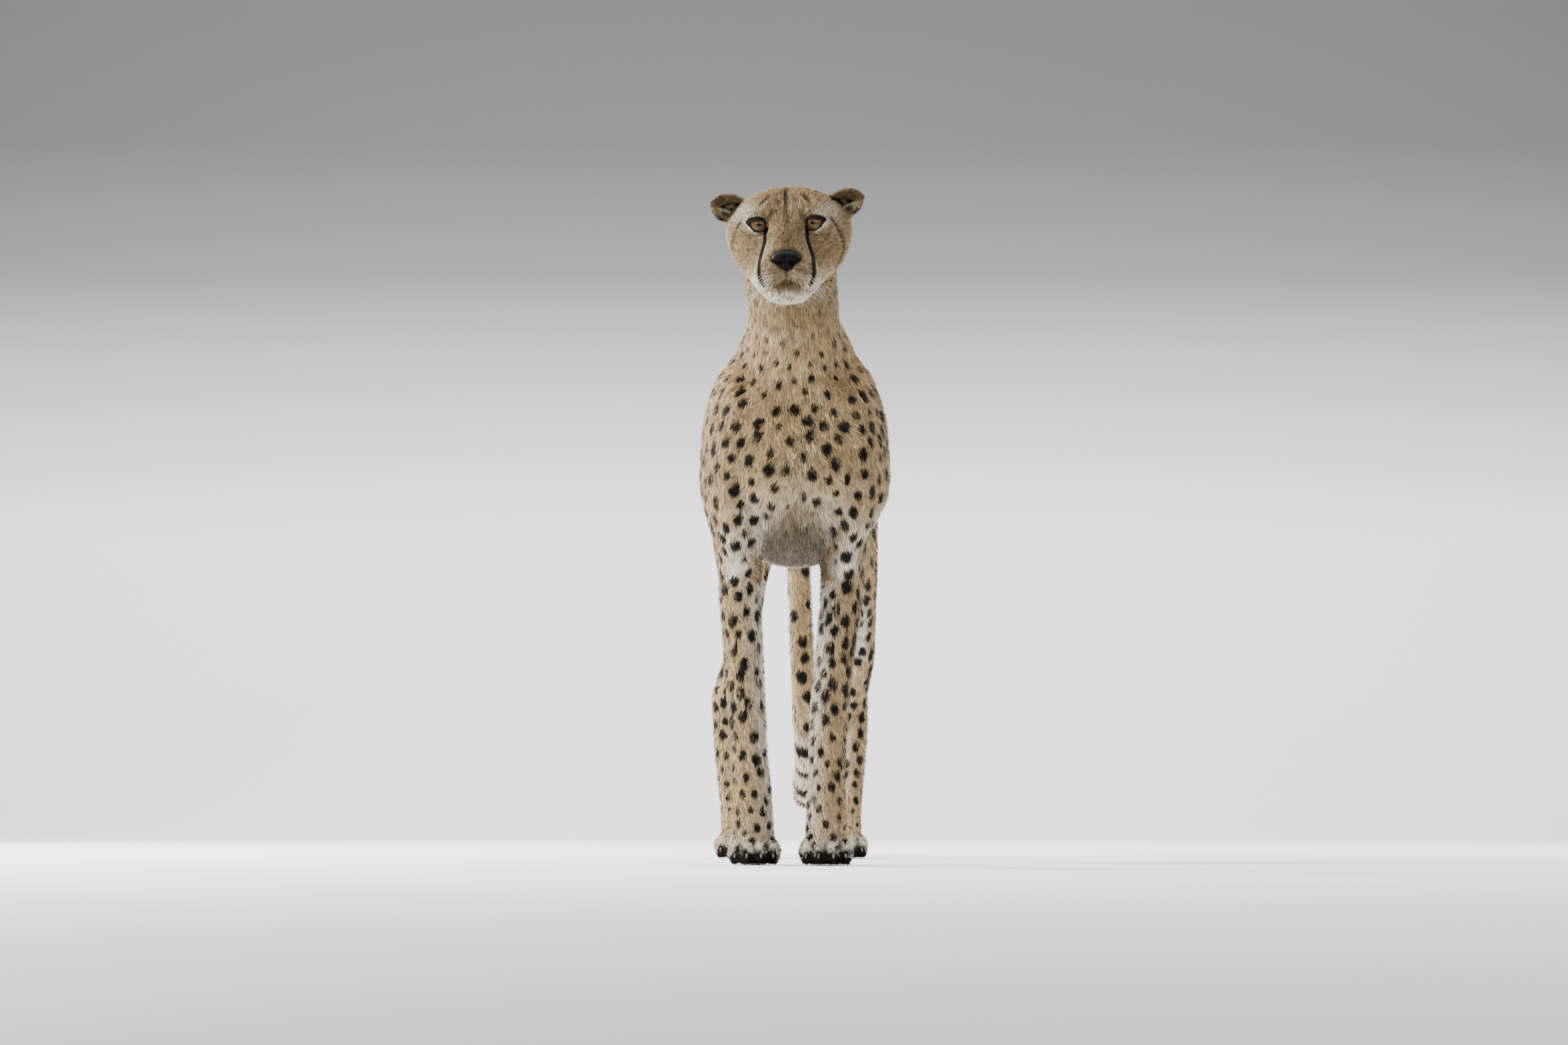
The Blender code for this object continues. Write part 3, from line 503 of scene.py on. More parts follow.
# width of the black lid, by degrees round the opening from its outer side; above the eye it is dark
# lid and lashes, widened with painted shade under the brow
LID_BAND = (
    (-180, 0.0020), (-150, 0.0018), (-120, 0.0013), (-20, 0.0014), (5, 0.0018), (22, 0.0046),
    (45, 0.0048), (100, 0.0046), (130, 0.0038), (155, 0.0026), (180, 0.0020),
)
LID_DEPTH = 0.0014

# lines of the face, as (out, forward, up) from the eye line's middle
FACE_LINES = {
    "mouth": (
        (0.0, 0.078, -0.0747), (0.0080, 0.076, -0.0768), (0.0155, 0.071, -0.0818),
        (0.0220, 0.063, -0.0868), (0.0275, 0.054, -0.0895), (0.0320, 0.044, -0.0905),
    ),
    "cleft": ((0.0, 0.080, -0.0620), (0.0, 0.078, -0.0747)),
    "tear": (
        (0.0272, 0.016, -0.0050), (0.0276, 0.020, -0.0125), (0.0278, 0.024, -0.0220),
        (0.0303, 0.030, -0.0312), (0.0338, 0.035, -0.0425), (0.0358, 0.039, -0.0540),
        (0.0362, 0.041, -0.0630), (0.0356, 0.042, -0.0690), (0.0338, 0.044, -0.0755),
        (0.0312, 0.046, -0.0810),
    ),
    "cheek": (
        (0.0560, -0.002, 0.0045), (0.0640, -0.010, -0.0080), (0.0705, -0.018, -0.0200),
        (0.0750, -0.024, -0.0330), (0.0740, -0.022, -0.0450), (0.0700, -0.018, -0.0540),
    ),
    "forehead": (
        (0.0, -0.034, 0.055), (0.0, -0.012, 0.047), (0.0, 0.006, 0.032), (0.0, 0.017, 0.012),
        (0.0, 0.026, -0.012),
    ),
    "brow": ((0.0240, -0.014, 0.0430), (0.0300, -0.004, 0.0315), (0.0325, 0.002, 0.0200)),
    "inner_brow": ((0.0190, 0.010, 0.0160), (0.0225, 0.016, 0.0060)),
    "crown": ((0.0130, -0.005, 0.0370), (0.0115, 0.003, 0.0280)),
}
# lines of an ear, out from the face's middle and up from the ear's
EAR_CREASE = (
    (0.0610, 0.0070), (0.0695, 0.0055), (0.0765, 0.0030), (0.0840, 0.0022), (0.0920, 0.0028)
)
EAR_EDGE = ((0.0785, -0.0050), (0.0845, -0.0016), (0.0945, 0.0017))


def closed_path(points, steps=8):
    """A smooth closed line through the points."""
    here = np.array(points)
    before, after, later = np.roll(here, 1, 0), np.roll(here, -1, 0), np.roll(here, -2, 0)
    t = np.linspace(0, 1, steps, endpoint=False)[:, None, None]
    bend = 2 * before - 5 * here + 4 * after - later + t * (3 * (here - after) + later - before)
    path = here + 0.5 * t * (after - before + t * bend)
    return path.transpose(1, 0, 2).reshape(-1, 2)


LID_PATH = closed_path(EYE_OPENING)


def along_line(points, line):
    """Distance from each point to a bent line, and how far along it, from 0 to 1."""
    best = np.full(len(points), 9.0)
    place = np.zeros(len(points))
    steps = len(line) - 1
    for i in range(steps):
        start, end = np.array(line[i]), np.array(line[i + 1])
        run = end - start
        share = np.clip((points - start) @ run / (run @ run), 0, 1)
        gap = np.linalg.norm(points - start - share[:, None] * run, axis=1)
        closer = gap < best
        best = np.where(closer, gap, best)
        place = np.where(closer, (i + share) / steps, place)
    return best, place


def eye_opening(across, up):
    """For places on the face: how far outside the lids' rim they are, below 0 in the opening,
    and the way out from it."""
    spots = np.stack([across - EYE_OUT, up], axis=1)
    away = np.linalg.norm(spots, axis=1) - 0.009
    way = unit(spots)
    rows = np.nonzero(away < 0.021)[0]
    spots = spots[rows]
    best = np.full(len(rows), 9.0)
    offset = np.zeros_like(spots)
    inside = np.zeros(len(rows), bool)
    for start, end in zip(LID_PATH, np.roll(LID_PATH, -1, 0)):
        run = end - start
        share = np.clip((spots - start) @ run / (run @ run), 0, 1)
        apart = spots - start - share[:, None] * run
        gap = np.linalg.norm(apart, axis=1)
        closer = gap < best
        best = np.where(closer, gap, best)
        offset = np.where(closer[:, None], apart, offset)
        beside = (start[1] > spots[:, 1]) != (end[1] > spots[:, 1])
        edge = start[0] + (spots[:, 1] - start[1]) * run[0] / (run[1] or 1.0)
        inside ^= beside & (spots[:, 0] < edge)
    sign = np.where(inside, -1.0, 1.0)
    away[rows] = best * sign
    way[rows] = offset * (sign / np.maximum(best, 1e-9))[:, None]
    return away, way


def lid_band(across, up):
    """Width of the black lid in the direction of each place round the eye."""
    degrees, widths = zip(*LID_BAND)
    turn = np.arctan2(up + 0.001, across - EYE_OUT + 0.001)
    return np.interp(np.degrees(turn), degrees, widths)


def nose_width(lift):
    """Half width of the nose leather by height, from -1 at its foot to 1 at its top."""
    below, above = np.maximum(0, -lift), np.maximum(0, lift)
    return NOSE_HALF[0] * (1 - 0.90 * below + 0.42 * below**2 + 0.25 * above**2)


def from_leather(across, up):
    """Below 1 on the nose leather as seen from the front."""
    lift = (up - NOSE_UP) / NOSE_HALF[2]
    return np.hypot(across / nose_width(np.clip(lift, -1, 1)), lift)


def shape_lids(local):
    """Lids that hug the eyeballs, and an opening between them."""
    across, ahead, up = folded(local).T
    out = across - EYE_OUT
    near = (np.hypot(out, up) < 0.034) & (ahead > -0.012)
    away, direction = eye_opening(across, up)
    snap = near & (np.abs(away) < 0.00055)
    out, up = np.where(snap, (out, up) - direction.T * away, (out, up))
    away = np.where(snap, 0.0, away)
    from_middle = out**2 + up**2
    beyond = np.maximum(np.sqrt(from_middle) - EYE_RADIUS, 0)
    ball = EYE_FORWARD + np.sqrt(np.maximum(EYE_RADIUS**2 - from_middle, 0)) - 1.6 * beyond
    fold = 0.0012 * bump_at(away, 0.0030, 0.0022) - 0.0010 * bump_at(away, 0.0068, 0.0014)
    lid = EYE_FORWARD + LID_DEPTH + rise(-0.004, 0.003, up) * fold
    lid = lid + np.sqrt(np.maximum(EYE_RADIUS**2 - np.minimum(from_middle, 0.0165**2), 0))
    share = rise(0.0015, 0.0110, away)
    outer = np.maximum(lid * (1 - share) + ahead * share, ball + 0.0009)
    shaped = np.where(away < 0, ball - 0.0040, outer)
    shaped = np.where(snap, ball + 0.0008, shaped)
    moved = np.stack([np.sign(local[:, 0]) * (out + EYE_OUT), shaped, up], axis=1)
    local[near] = moved[near]


def in_ear(local):
    """Places out from the face's middle and up from the middle of the ear on that side."""
    ears = to_head(np.array([box_middle("left_ear"), box_middle("right_ear")]))
    middle = np.where(local[:, 0] > 0, *ears[:, 2])
    return np.stack([np.abs(local[:, 0]), local[:, 2] - middle], axis=1)


def ear_front(normals, local):
    """1 on the front of the ears and their roots."""
    out, up = in_ear(local).T
    near = rise(0.056, 0.061, out) * fall(0.016, 0.022, np.abs(up))
    return near * rise(-0.10, 0.15, -normals[:, 1]) * (local[:, 1] < -0.012)


def shape_ears(skin):
    """Hollows each ear's front behind its lower edge, which stands forward."""
    spots, normals = points_of(skin.data), normals_of(skin.data)
    local = to_head(spots)
    crease, along = along_line(in_ear(local), EAR_CREASE)
    edge, _ = along_line(in_ear(local), EAR_EDGE)
    deep = np.interp(along, (0, 0.3, 0.8, 1), (0.2, 1, 1, 0.5))
    push = 0.0026 * bump_at(edge, 0, 0.0020) - 0.0075 * deep * bump_at(crease, 0, 0.0042)
    local[:, 1] += spread_one(skin.data, push * ear_front(normals, local), 2)
    move_points(skin.data, from_head(local))


def laid_on(skin_tree, line, from_front=False):
    """A line of the face, made smooth and laid on the skin, in the head's frame."""
    line = np.array(line, float)
    fine = np.linspace(0, 1, 6 * (len(line) - 1) + 1)
    knots = np.linspace(0, 1, len(line))
    path = np.stack([np.interp(fine, knots, column) for column in line.T], axis=1)
    for _ in range(3):
        path[1:-1] = (path[:-2] + 2 * path[1:-1] + path[2:]) / 4
    spots = [skin_tree.find_nearest(Vector(p))[0] for p in from_head(path)]
    if from_front:
        starts = from_head(path * (1, 0, 1) + (0, 0.2, 0))
        hits = [skin_tree.ray_cast(Vector(p), Vector(HEAD_AXES[1]))[0] for p in starts]
        spots = [hit or spot for hit, spot in zip(hits, spots)]
    return to_head(np.array(spots))


def shape_muzzle(local, inward_way, tree):
    """Mouth line, the cleft and leather's bed, whisker pads and chin."""
    flat = folded(local)
    across, ahead, up = flat.T
    front = rise(0.030, 0.045, ahead)
    gap, place = along_line(flat, laid_on(tree, FACE_LINES["mouth"]))
    cleft, _ = along_line(flat, laid_on(tree, FACE_LINES["cleft"]))
    shallow = np.interp(place, (0, 0.8, 1), (1.0, 1.0, 0.2))
    inward = 0.0022 * shallow * bump_at(gap, 0, 0.0009) + 0.0016 * bump_at(cleft, 0, 0.0009)
    pad = 0.0024 * bump_at(across, 0.016, 0.0085) * bump_at(up, -0.0680, 0.0085)
    chin = 0.0016 * bump_at(across, 0, 0.013) * bump_at(up, -0.0920, 0.0050)
    local[:, 1] += (pad + chin) * front
    local += inward_way * inward[:, None]
    up = local[:, 2]
    local[:, 0] += np.sign(local[:, 0]) * 0.0015 * front * bump_at(up, -0.070, 0.010)
    leather = from_leather(across, up)
    inside = front * fall(0.88, 1.02, leather)
    local[:, 1] -= inside * np.maximum(local[:, 1] - (NOSE_AHEAD - NOSE_SET + 0.0045), 0)
    local[:, 1] += 0.0012 * front * bump_at(leather, 1.25, 0.13)


def shape_face(skin):
    spots = points_of(skin.data)
    local = to_head(spots)
    face = (local[:, 1] > -0.03) & (np.abs(local[:, 0]) < 0.09) & (np.abs(local[:, 2]) < 0.14)
    chosen = local[face]
    inward_way = -normals_of(skin.data)[face] @ HEAD_AXES.T * (1, -1, 1)
    shape_muzzle(chosen, inward_way, tree_of(skin.data))
    shape_lids(chosen)
    spots[face] = from_head(chosen)
    move_points(skin.data, spots)


def build_skin(settings):
    skin = closed_flesh(settings.grain)
    spots = points_of(skin.data)
    fine = np.maximum(headness(spots), pawness(spots))
    smoothed(skin, np.ones(len(spots)), 4)
    smoothed(skin, 1 - fine, 24)
    for _ in range(2):
        settle_under_coat(skin, settings.coat_depth)
    thin_body(skin, settings.body_share)
    spots = points_of(skin.data)
    local = to_head(spots)
    face = (local[:, 1] > -0.022) & (np.linalg.norm(local[:, ::2], axis=1) < 0.12)
    refine(skin, face & (headness(spots) > 0.2))
    flat = folded(to_head(points_of(skin.data)))
    near_eye = np.linalg.norm(flat[:, ::2] - (EYE_OUT, 0), axis=1) < 0.0235
    near_mouth = along_line(flat, FACE_LINES["mouth"])[0] < 0.0085
    near_nose = np.linalg.norm(flat[:, ::2] - (0, -0.055), axis=1) < 0.0260
    refine(skin, (near_eye | near_mouth | near_nose) & (flat[:, 1] > -0.016))
    spots = points_of(skin.data)
    smoothed(skin, rise(-0.04, -0.015, to_head(spots)[:, 1]) * headness(spots), 5)
    shape_face(skin)
    shape_ears(skin)
    skin.data.shade_smooth()
    skin.vertex_groups.clear()
    return skin


# ------------------------------------------------------------------ the tail's line
TAIL_STEPS = 21


def tail_reach(points):
    """Grows steadily from the tail's root to its tip."""
    return 1.5 * points[:, 1] - points[:, 2]


def tail_line():
    """The tail's middle line and its length up to each point, from its root."""
    nodes = nodes_of("tail_root", "tail_middle", "tail_tip")
    points = np.vstack([points_of(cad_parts[name].data) for name in nodes])
    reach = tail_reach(points)
    bins = np.linspace(reach.min(), reach.max(), TAIL_STEPS + 1)
    where = np.clip(np.digitize(reach, bins) - 1, 0, TAIL_STEPS - 1)
    middles = np.array([points[where == i].mean(axis=0) for i in np.unique(where)])
    runs = np.linalg.norm(np.diff(middles, axis=0), axis=1)
    return middles, np.concatenate([[0], np.cumsum(runs)])


def along_tail(points):
    """Length along the tail from its root, and the way the tail runs there."""
    middles, length = bench["tail"]
    reach, keys = tail_reach(points), tail_reach(middles)
    ways = np.gradient(middles, axis=0)
    way = np.stack([np.interp(reach, keys, column) for column in ways.T], axis=1)
    return np.interp(reach, keys, length), unit(way)


# ------------------------------------------------------------------ lie of the coat
def chest_front(points, normals):
    """1 on the front of the chest and throat."""
    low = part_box("thorax")[0]
    ahead = fall(low.y + 0.02, low.y + 0.13, points[:, 1])
    return ahead * rise(0.1, 0.7, -normals[:, 1]) * (points[:, 2] > low.z)


def coat_lie(skin, region):
    """Unit vectors along which the coat lies, in the skin's surface."""
    points, normals = points_of(skin.data), normals_of(skin.data)
    zone = REGION_NAMES[region]
    on_head = (zone == "head")[:, None]
    stream = unit((to_head(points) - (0, 0.086, -0.042)) * (1.15, 1.0, 1.0))
    lie = unit(REGION_TABLE["lie"])[region]
    lie = np.where(on_head, stream * (1, -1, 1) @ HEAD_AXES, lie)
    throat = chest_front(points, normals)[:, None] * ~on_head
    parting = np.tile((0.0, 0.0, -1.0), (len(points), 1))
    parting[:, 0] = 0.35 * np.tanh(points[:, 0] / 0.02)
    lie = lie * (1 - throat) + parting * throat
    tail = np.char.startswith(zone, "tail")[:, None]
    lie = np.where(tail, along_tail(points)[1], lie)
    ears = zone == "ear"
    lie[ears] = unit(np.array((0.85, 0.10, 0.50)))
    lie[ears, 0] *= np.sign(points[ears, 0])
    low = (np.isin(zone, PAWS) * fall(0.02, 0.06, points[:, 2]))[:, None]
    lie = lie * (1 - low) + np.array((0, -1.0, -0.35)) * low
    return unit(laid_flat(spread_out(skin.data, lie, 40), normals))


# ------------------------------------------------------------------ markings
SPOT_TRIES = 45000


def scatter_spots(skin, region, seed):
    """Spots spaced out over the skin, closer and smaller on the neck, legs and head."""
    draw = np.random.default_rng(seed)
    points, faces = points_of(skin.data), triangles_of(skin.data)
    corners = points[faces]
    sides = corners[:, 1:] - corners[:, :1]
    area = np.linalg.norm(np.cross(sides[:, 0], sides[:, 1]), axis=1)
    chosen = draw.choice(len(faces), size=SPOT_TRIES, p=area / area.sum())
    weights = draw.dirichlet((1, 1, 1), size=SPOT_TRIES)
    spots = np.einsum("ij,ijk->ik", weights, corners[chosen])
    anchors = faces[chosen, 0]
    table = np.stack([REGION_TABLE["gap"][region], REGION_TABLE["spot"][region]], axis=1)
    gap, radius = spread_out(skin.data, table, 50)[anchors].T
    kept, sizes = [], []
    near_by = np.empty(SPOT_TRIES, int)
    for i in np.nonzero(radius * table[anchors, 1])[0]:
        others = near_by[: len(kept)]
        others = others[np.abs(spots[others] - spots[i]).max(axis=1) < 0.04]
        away = np.linalg.norm(spots[others] - spots[i], axis=1)
        if (away < 0.5 * (gap[others] + gap[i])).any():
            continue
        near_by[len(kept)] = i
        kept.append(i)
        sizes.append(radius[i] * draw.uniform(0.72, 1.18))
    bench["spots"] = (spots[kept], np.array(sizes), anchors[kept])


def spot_cover(points, normals):
    """How black each point is with spots, from 0 to 1."""
    middles, sizes, anchors = bench["spots"]
    lie, face = bench["lie"][anchors], bench["normals"][anchors]
    on_limbs = np.isin(REGION_NAMES[bench["region"][anchors]], LIMBS)
    tree = tree_of_points(middles)
    wobble = 0.15 * cloud_noise(points, 0.014, 11) + 0.08 * cloud_noise(points, 0.006, 12)
    nearest = np.array([[found[1] for found in tree.find_n(p, 2)] for p in points.tolist()])
    cover = np.zeros(len(points))
    for index in nearest.T:
        offset = points - middles[index]
        along = (offset * lie[index]).sum(axis=1)
        off = np.sqrt(np.maximum((offset**2).sum(axis=1) - along**2, 0))
        tall = np.where(on_limbs[index], 1.28, 1.18)
        reach = np.hypot(along / tall, off / 0.93) / sizes[index]
        same_side = (normals * face[index]).sum(axis=1) > -0.2
        cover = np.maximum(cover, fall(0.86, 1.08, reach + wobble) * same_side)
    return cover


# how each line is drawn: inner and outer edge, raggedness, strength, and fading along it
EVENLY = ((0, 1), (1, 1))
FADING = (0, 0.3, 0.6, 1), (0.7, 1.0, 0.75, 0.3)
LINE_MARKS = {
    "mouth": (0.0009, 0.0028, 0.5, 1.0, ((0, 0.8, 1), (1, 0.9, 0))),
    "cleft": (0.0006, 0.0020, 0.0, 0.9, EVENLY),
    "forehead": (0.0014, 0.0042, 1.5, 0.95, FADING),
    "brow": (0.0014, 0.0042, 1.5, 0.92, FADING),
    "inner_brow": (0.0014, 0.0042, 1.5, 0.60, FADING),
    "crown": (0.0014, 0.0042, 1.5, 0.60, FADING),
}
TEAR_WIDTHS = (0, 0.15, 0.5, 0.8, 1.0), (0.0032, 0.0023, 0.0021, 0.0022, 0.0026)
WHISKER_ROWS, WHISKER_DOTS = 4, 5


def face_marks(points, local):
    """Black marks of the face, from 0 to 1: tear lines, lids, lips, forehead and cheek marks."""
    flat = folded(local)
    across, ahead, up = flat.T
    lines = bench["face_lines"]
    ragged = 0.0005 * cloud_noise(points, 0.006, 21)
    gap, place = along_line(flat, lines["tear"])
    seen, _ = along_line(flat[:, ::2], lines["tear"][:, ::2])
    width = np.interp(place, *TEAR_WIDTHS)
    marks = [fall(width, width + 0.0006, np.maximum(seen, 0.45 * gap) + 0.5 * ragged)]
    band = lid_band(across, up)
    rim = fall(band, band + 0.0010, eye_opening(across, up)[0] + ragged)
    marks.append(rim * (ahead > -0.02))
    gap, _ = along_line(flat, lines["cheek"])
    broken = 0.80 + 0.20 * cloud_noise(points, 0.012, 22)
    marks.append(broken * fall(0.0014, 0.0050, gap + 2 * ragged))
    for name, (inner, outer, rough, strength, fade) in LINE_MARKS.items():
        gap, place = along_line(flat, lines[name])
        strength = strength * np.interp(place, *fade)
        marks.append(strength * fall(inner, outer, gap + rough * ragged))
    marks.append(fall(1.00, 1.10, from_leather(across, up)) * (ahead > 0.05))
    for row in range(WHISKER_ROWS):
        for i in range(WHISKER_DOTS):
            out = 0.0150 + 0.0050 * i + 0.0015 * (row % 2)
            reach = np.hypot((across - out) / 2.2, up + 0.0620 + 0.0045 * row + 0.0006 * i)
            marks.append(0.6 * fall(0.0004, 0.0014, reach) * (ahead > 0.03))
    return np.maximum.reduce(marks) * rise(-0.045, -0.030, ahead)


def ground_colour(points, normals, local, zone, tones):
    """Tawny back, buff flanks and legs, cream underside, and painted shade under the breast."""
    tawny, buff, cream = tones
    height = points[:, 2]
    back = rise(0.15, 0.80, normals[:, 2]) * rise(0.50, 0.68, height)
    limbs = np.isin(zone, LIMBS)
    inner = 0.70 * rise(-0.20, 1.0, -np.sign(points[:, 0]) * normals[:, 0]) * limbs
    forward = chest_front(points, normals)
    # painted shade: less cream on the front of the breast
    under = rise(0.25, 0.75, -normals[:, 2]) * (height > 0.3) * (1 - 0.75 * forward)
    chest = forward * np.exp(-((points[:, 0] / 0.028) ** 2)) * fall(0.50, 0.60, height)
    toes = fall(0.024, 0.040, height) * limbs
    paws = fall(0.02, 0.08, height) * limbs
    pale = np.maximum.reduce([under, inner, 0.15 * chest, 0.20 * paws, 0.95 * toes])
    colour = mix(mix(buff, tawny, back), cream, pale)
    # painted shade: the breast's underside between the forelegs is darkened
    colour = mix(colour, tawny * 0.16, 0.90 * painted_breast_shade(points) * ~limbs)
    return mix(colour, face_colour(points, local, tones), headness(points))


def painted_breast_shade(points):
    """1 on the underside of the breast, between the forelegs, where shade is painted dark into the
    coat.
    """
    out, height = np.abs(points[:, 0]), points[:, 2]
    back = points[:, 1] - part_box("thorax")[0].y
    arch = height + 0.5 * out + 0.004 * cloud_noise(points, 0.02, 35)
    low = rise(0.37, 0.40, height) * fall(0.452, 0.520, arch)
    return fall(0.036, 0.072, out) * low * fall(0.26, 0.40, back)


# soft patches of the face: out and up of their middles, and their spreads; the bridge's and lower
# lip's are painted shade
ABOVE_EYE = (0.046, 0.0200, 0.014, 0.0060)
PAD = (0.020, -0.066, 0.018, 0.012)
CHIN = (0.0, -0.0985, 0.033, 0.0085)
JAW = (0.045, -0.084, 0.018, 0.016)
TEMPLE = (0.058, 0.014, 0.016, 0.014)
CHEEK = (0.054, -0.032, 0.017, 0.020)
BRIDGE_SHADE = (0.0, -0.024, 0.0160, 0.0150)
LOWER_LIP_SHADE = (0.0, -0.0825, 0.0205, 0.0072)
INNER_BROW = (0.024, 0.004, 0.008, 0.012)


def face_colour(points, local, tones):
    """The face's colour: pale round the eyes, on the pads and chin, and painted shade on the bridge
    and below the mouth.
    """
    tawny, buff, cream = tones
    across, ahead, up = folded(local).T

    def patch(out, lift, wide, high):
        return np.exp(-(((across - out) / wide) ** 2) - ((up - lift) / high) ** 2)

    front = rise(-0.05, -0.02, ahead)
    below = bump_at(eye_opening(across, up)[0], lid_band(across, up) + 0.0018, 0.0014)
    below = below * rise(0.004, -0.002, up) * rise(-0.008, 0.002, across - EYE_OUT)
    strands = 1 + 1.5 * cloud_noise(points * (1, 0.3, 0.3), 0.0045, 23)
    white = 0.9 * below + 0.25 * patch(*ABOVE_EYE) + 0.15 * patch(*PAD) + 0.40 * patch(*TEMPLE)
    white = white + (0.9 * patch(*CHIN) + 0.6 * patch(*JAW)) * strands
    colour = mix(buff * 0.76, tawny * 0.80, 0.65 * rise(0.01, 0.05, up))
    colour = mix(colour, cream, np.clip(white * front, 0, 1))
    colour = mix(colour, tawny * 0.45, 0.30 * patch(*CHEEK) * front)
    # painted shade on the bridge
    colour = mix(colour, tawny * 0.34, 0.85 * patch(*BRIDGE_SHADE) * front)
    # painted shade below the mouth
    colour = mix(colour, tawny * 0.28, 0.90 * patch(*LOWER_LIP_SHADE) * (ahead > 0.03))
    return mix(colour, tawny * 0.55, 0.35 * patch(*INNER_BROW) * front)


def coat_colour(points, normals, region):
    """The colour of skin and coat at each point."""
    markings = bpy.context.scene.cheetah_markings
    tones = [np.array(tone) for tone in (markings.tawny, markings.buff, markings.cream)]
    local, zone = to_head(points), REGION_NAMES[region]
    head = headness(points)
    drift = 1 + 0.07 * cloud_noise(points, 0.12, 31) + 0.05 * cloud_noise(points, 0.03, 32)
    drift = drift + 0.16 * head * cloud_noise(points, 0.011, 33)
    colour = ground_colour(points, normals, local, zone, tones) * drift[:, None]
    cover = np.maximum(body_spots(points, normals, local), face_marks(points, local) * head)
    colour, cover = tail_marks(points, zone, colour, cover, tones[2])
    colour, cover = ear_marks(points, normals, local, zone, colour, cover, tones[2])
    cover = np.maximum(cover, paw_marks(points, normals) * np.isin(zone, PAWS))
    return mix(colour, np.array(markings.black), np.clip(cover, 0, 1))


def paw_marks(points, normals):
    """Black pads with a ragged edge, claws' beds, and painted shade in the grooves between the
    toes.
    """
    pads = 0.0060 + 0.0105 * rise(0.1, 0.6, -normals[:, 1])
    pads = pads + 0.0034 * cloud_noise(points, 0.009, 34)
    soles = fall(pads, pads + 0.0030, points[:, 2])
    beds = fall(0.0055, 0.0085, from_claws(points))
    return np.maximum.reduce([soles, 0.9 * beds, 0.85 * toe_gap_shade(points)])


def toe_gap_shade(points):
    """1 in the grooves between two toes of a paw, where shade is painted dark."""
    found = np.zeros(len(points))
    for foot in ("left_fore", "right_fore", "left_hind", "right_hind"):
        claws = [box_middle(f"{foot}_claw_{i}") for i in range(1, 5)]
        for first, second in zip(claws, claws[1:]):
            middle = (first + second) / 2
            beside = bump_at(points[:, 0], middle.x, 0.0017)
            found = np.maximum(found, beside * (np.abs(points[:, 1] - middle.y - 0.010) < 0.024))
    return found * fall(0.024, 0.036, points[:, 2])


def from_claws(points):
    """Distance from each point to the nearest claw's middle."""
    middles = np.array([box_middle(name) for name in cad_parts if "claw" in name])
    return np.min([np.linalg.norm(points - middle, axis=1) for middle in middles], axis=0)


def body_spots(points, normals, local):
    """The scattered spots, left out of the belly, the breast's middle and most of the face."""
    height = points[:, 2]
    front = chest_front(points, normals)
    middle = np.exp(-((points[:, 0] / 0.009) ** 2)) * front * fall(0.53, 0.60, height)
    breast = fall(0.10, 0.24, points[:, 1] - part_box("thorax")[0].y)
    belly = rise(0.60, 0.90, -normals[:, 2]) * (height > 0.3) * (1 - breast)
    # no spots in the painted shade under the breast
    plain = np.maximum.reduce([middle, belly, painted_breast_shade(points)])
    spots = spot_cover(points, normals) * (1 - 0.5 * rise(0.68, 0.74, height) * front)
    spots = spots * fall(0.35, 0.6, plain)
    face = headness(points) * rise(-0.060, -0.035, local[:, 1])
    return spots * (1 - face * (1 - 0.35 * rise(0.012, 0.030, local[:, 2])))


def tail_marks(points, zone, colour, cover, cream):
    """Rings towards the tail's end, and its white tip."""
    place, _ = along_tail(points)
    share = place / bench["tail"][1][-1]
    on_tail = np.char.startswith(zone, "tail")
    rings = bump_at(np.mod(place + 0.004 * cloud_noise(points, 0.02, 41), 0.052), 0.026, 0.009)
    late, white_tip = rise(0.58, 0.66, share), rise(0.965, 0.985, share)
    banded = (cover * (1 - late) + rise(0.35, 0.6, rings) * late) * (1 - white_tip)
    pale = np.maximum(white_tip, 0.5 * late) * on_tail
    return mix(colour, cream, pale), np.where(on_tail, banded, cover)


# widths of the painted shadow along the ear's crease
CREASE_SHADOW_WIDTHS = (0, 0.25, 0.5, 0.8, 1), (0.0016, 0.0038, 0.0062, 0.0044, 0.0016)


def ear_marks(points, normals, local, zone, colour, cover, cream):
    """Black behind the ears; in front a black painted shadow in the crease, grey above it, and a
    pale lower edge.
    """
    places = in_ear(local)
    out, up = places.T
    behind = rise(0.20, -0.15, -normals[:, 1]) * (zone == "ear") * rise(0.078, 0.086, out)
    crease, along = along_line(places, EAR_CREASE)
    width = np.interp(along, *CREASE_SHADOW_WIDTHS)
    # the crease's black is painted shadow of the ear's opening
    black = fall(width, width + 0.0018, crease + 0.0006 * cloud_noise(points, 0.006, 62))
    pale = fall(0.0008, 0.0020, along_line(places, EAR_EDGE)[0])
    over = rise(-0.0005, 0.0010, up - np.interp(out, *zip(*EAR_CREASE)))
    under = rise(0.0010, -0.0010, up - np.interp(out, *zip(*EAR_EDGE)))
    grey = (0.46 + 0.16 * cloud_noise(points, 0.005, 61)) * over
    patch = np.exp(-(((out - 0.0855) / 0.0070) ** 2) - ((up + 0.0070) / 0.0055) ** 2) * under
    front = np.maximum.reduce([black * (1 - under), grey, 0.8 * patch]) * (1 - 0.9 * pale)
    share = ear_front(normals, local)
    cover = cover * (1 - share) + front * share
    return mix(colour, cream, pale * share), np.maximum(cover, behind)


# ------------------------------------------------------------------ materials
def set_inputs(node, values):
    """Sets a node's inputs, named with underscores for spaces."""
    for key, value in values.items():
        node.inputs[key.replace("_", " ")].default_value = value


def new_material(name, **values):
    """A material, its node tree and its shader."""
    made = bpy.data.materials.new(name)
    made.use_nodes = True
    shader = made.node_tree.nodes["Principled BSDF"]
    set_inputs(shader, values)
    return made, made.node_tree, shader


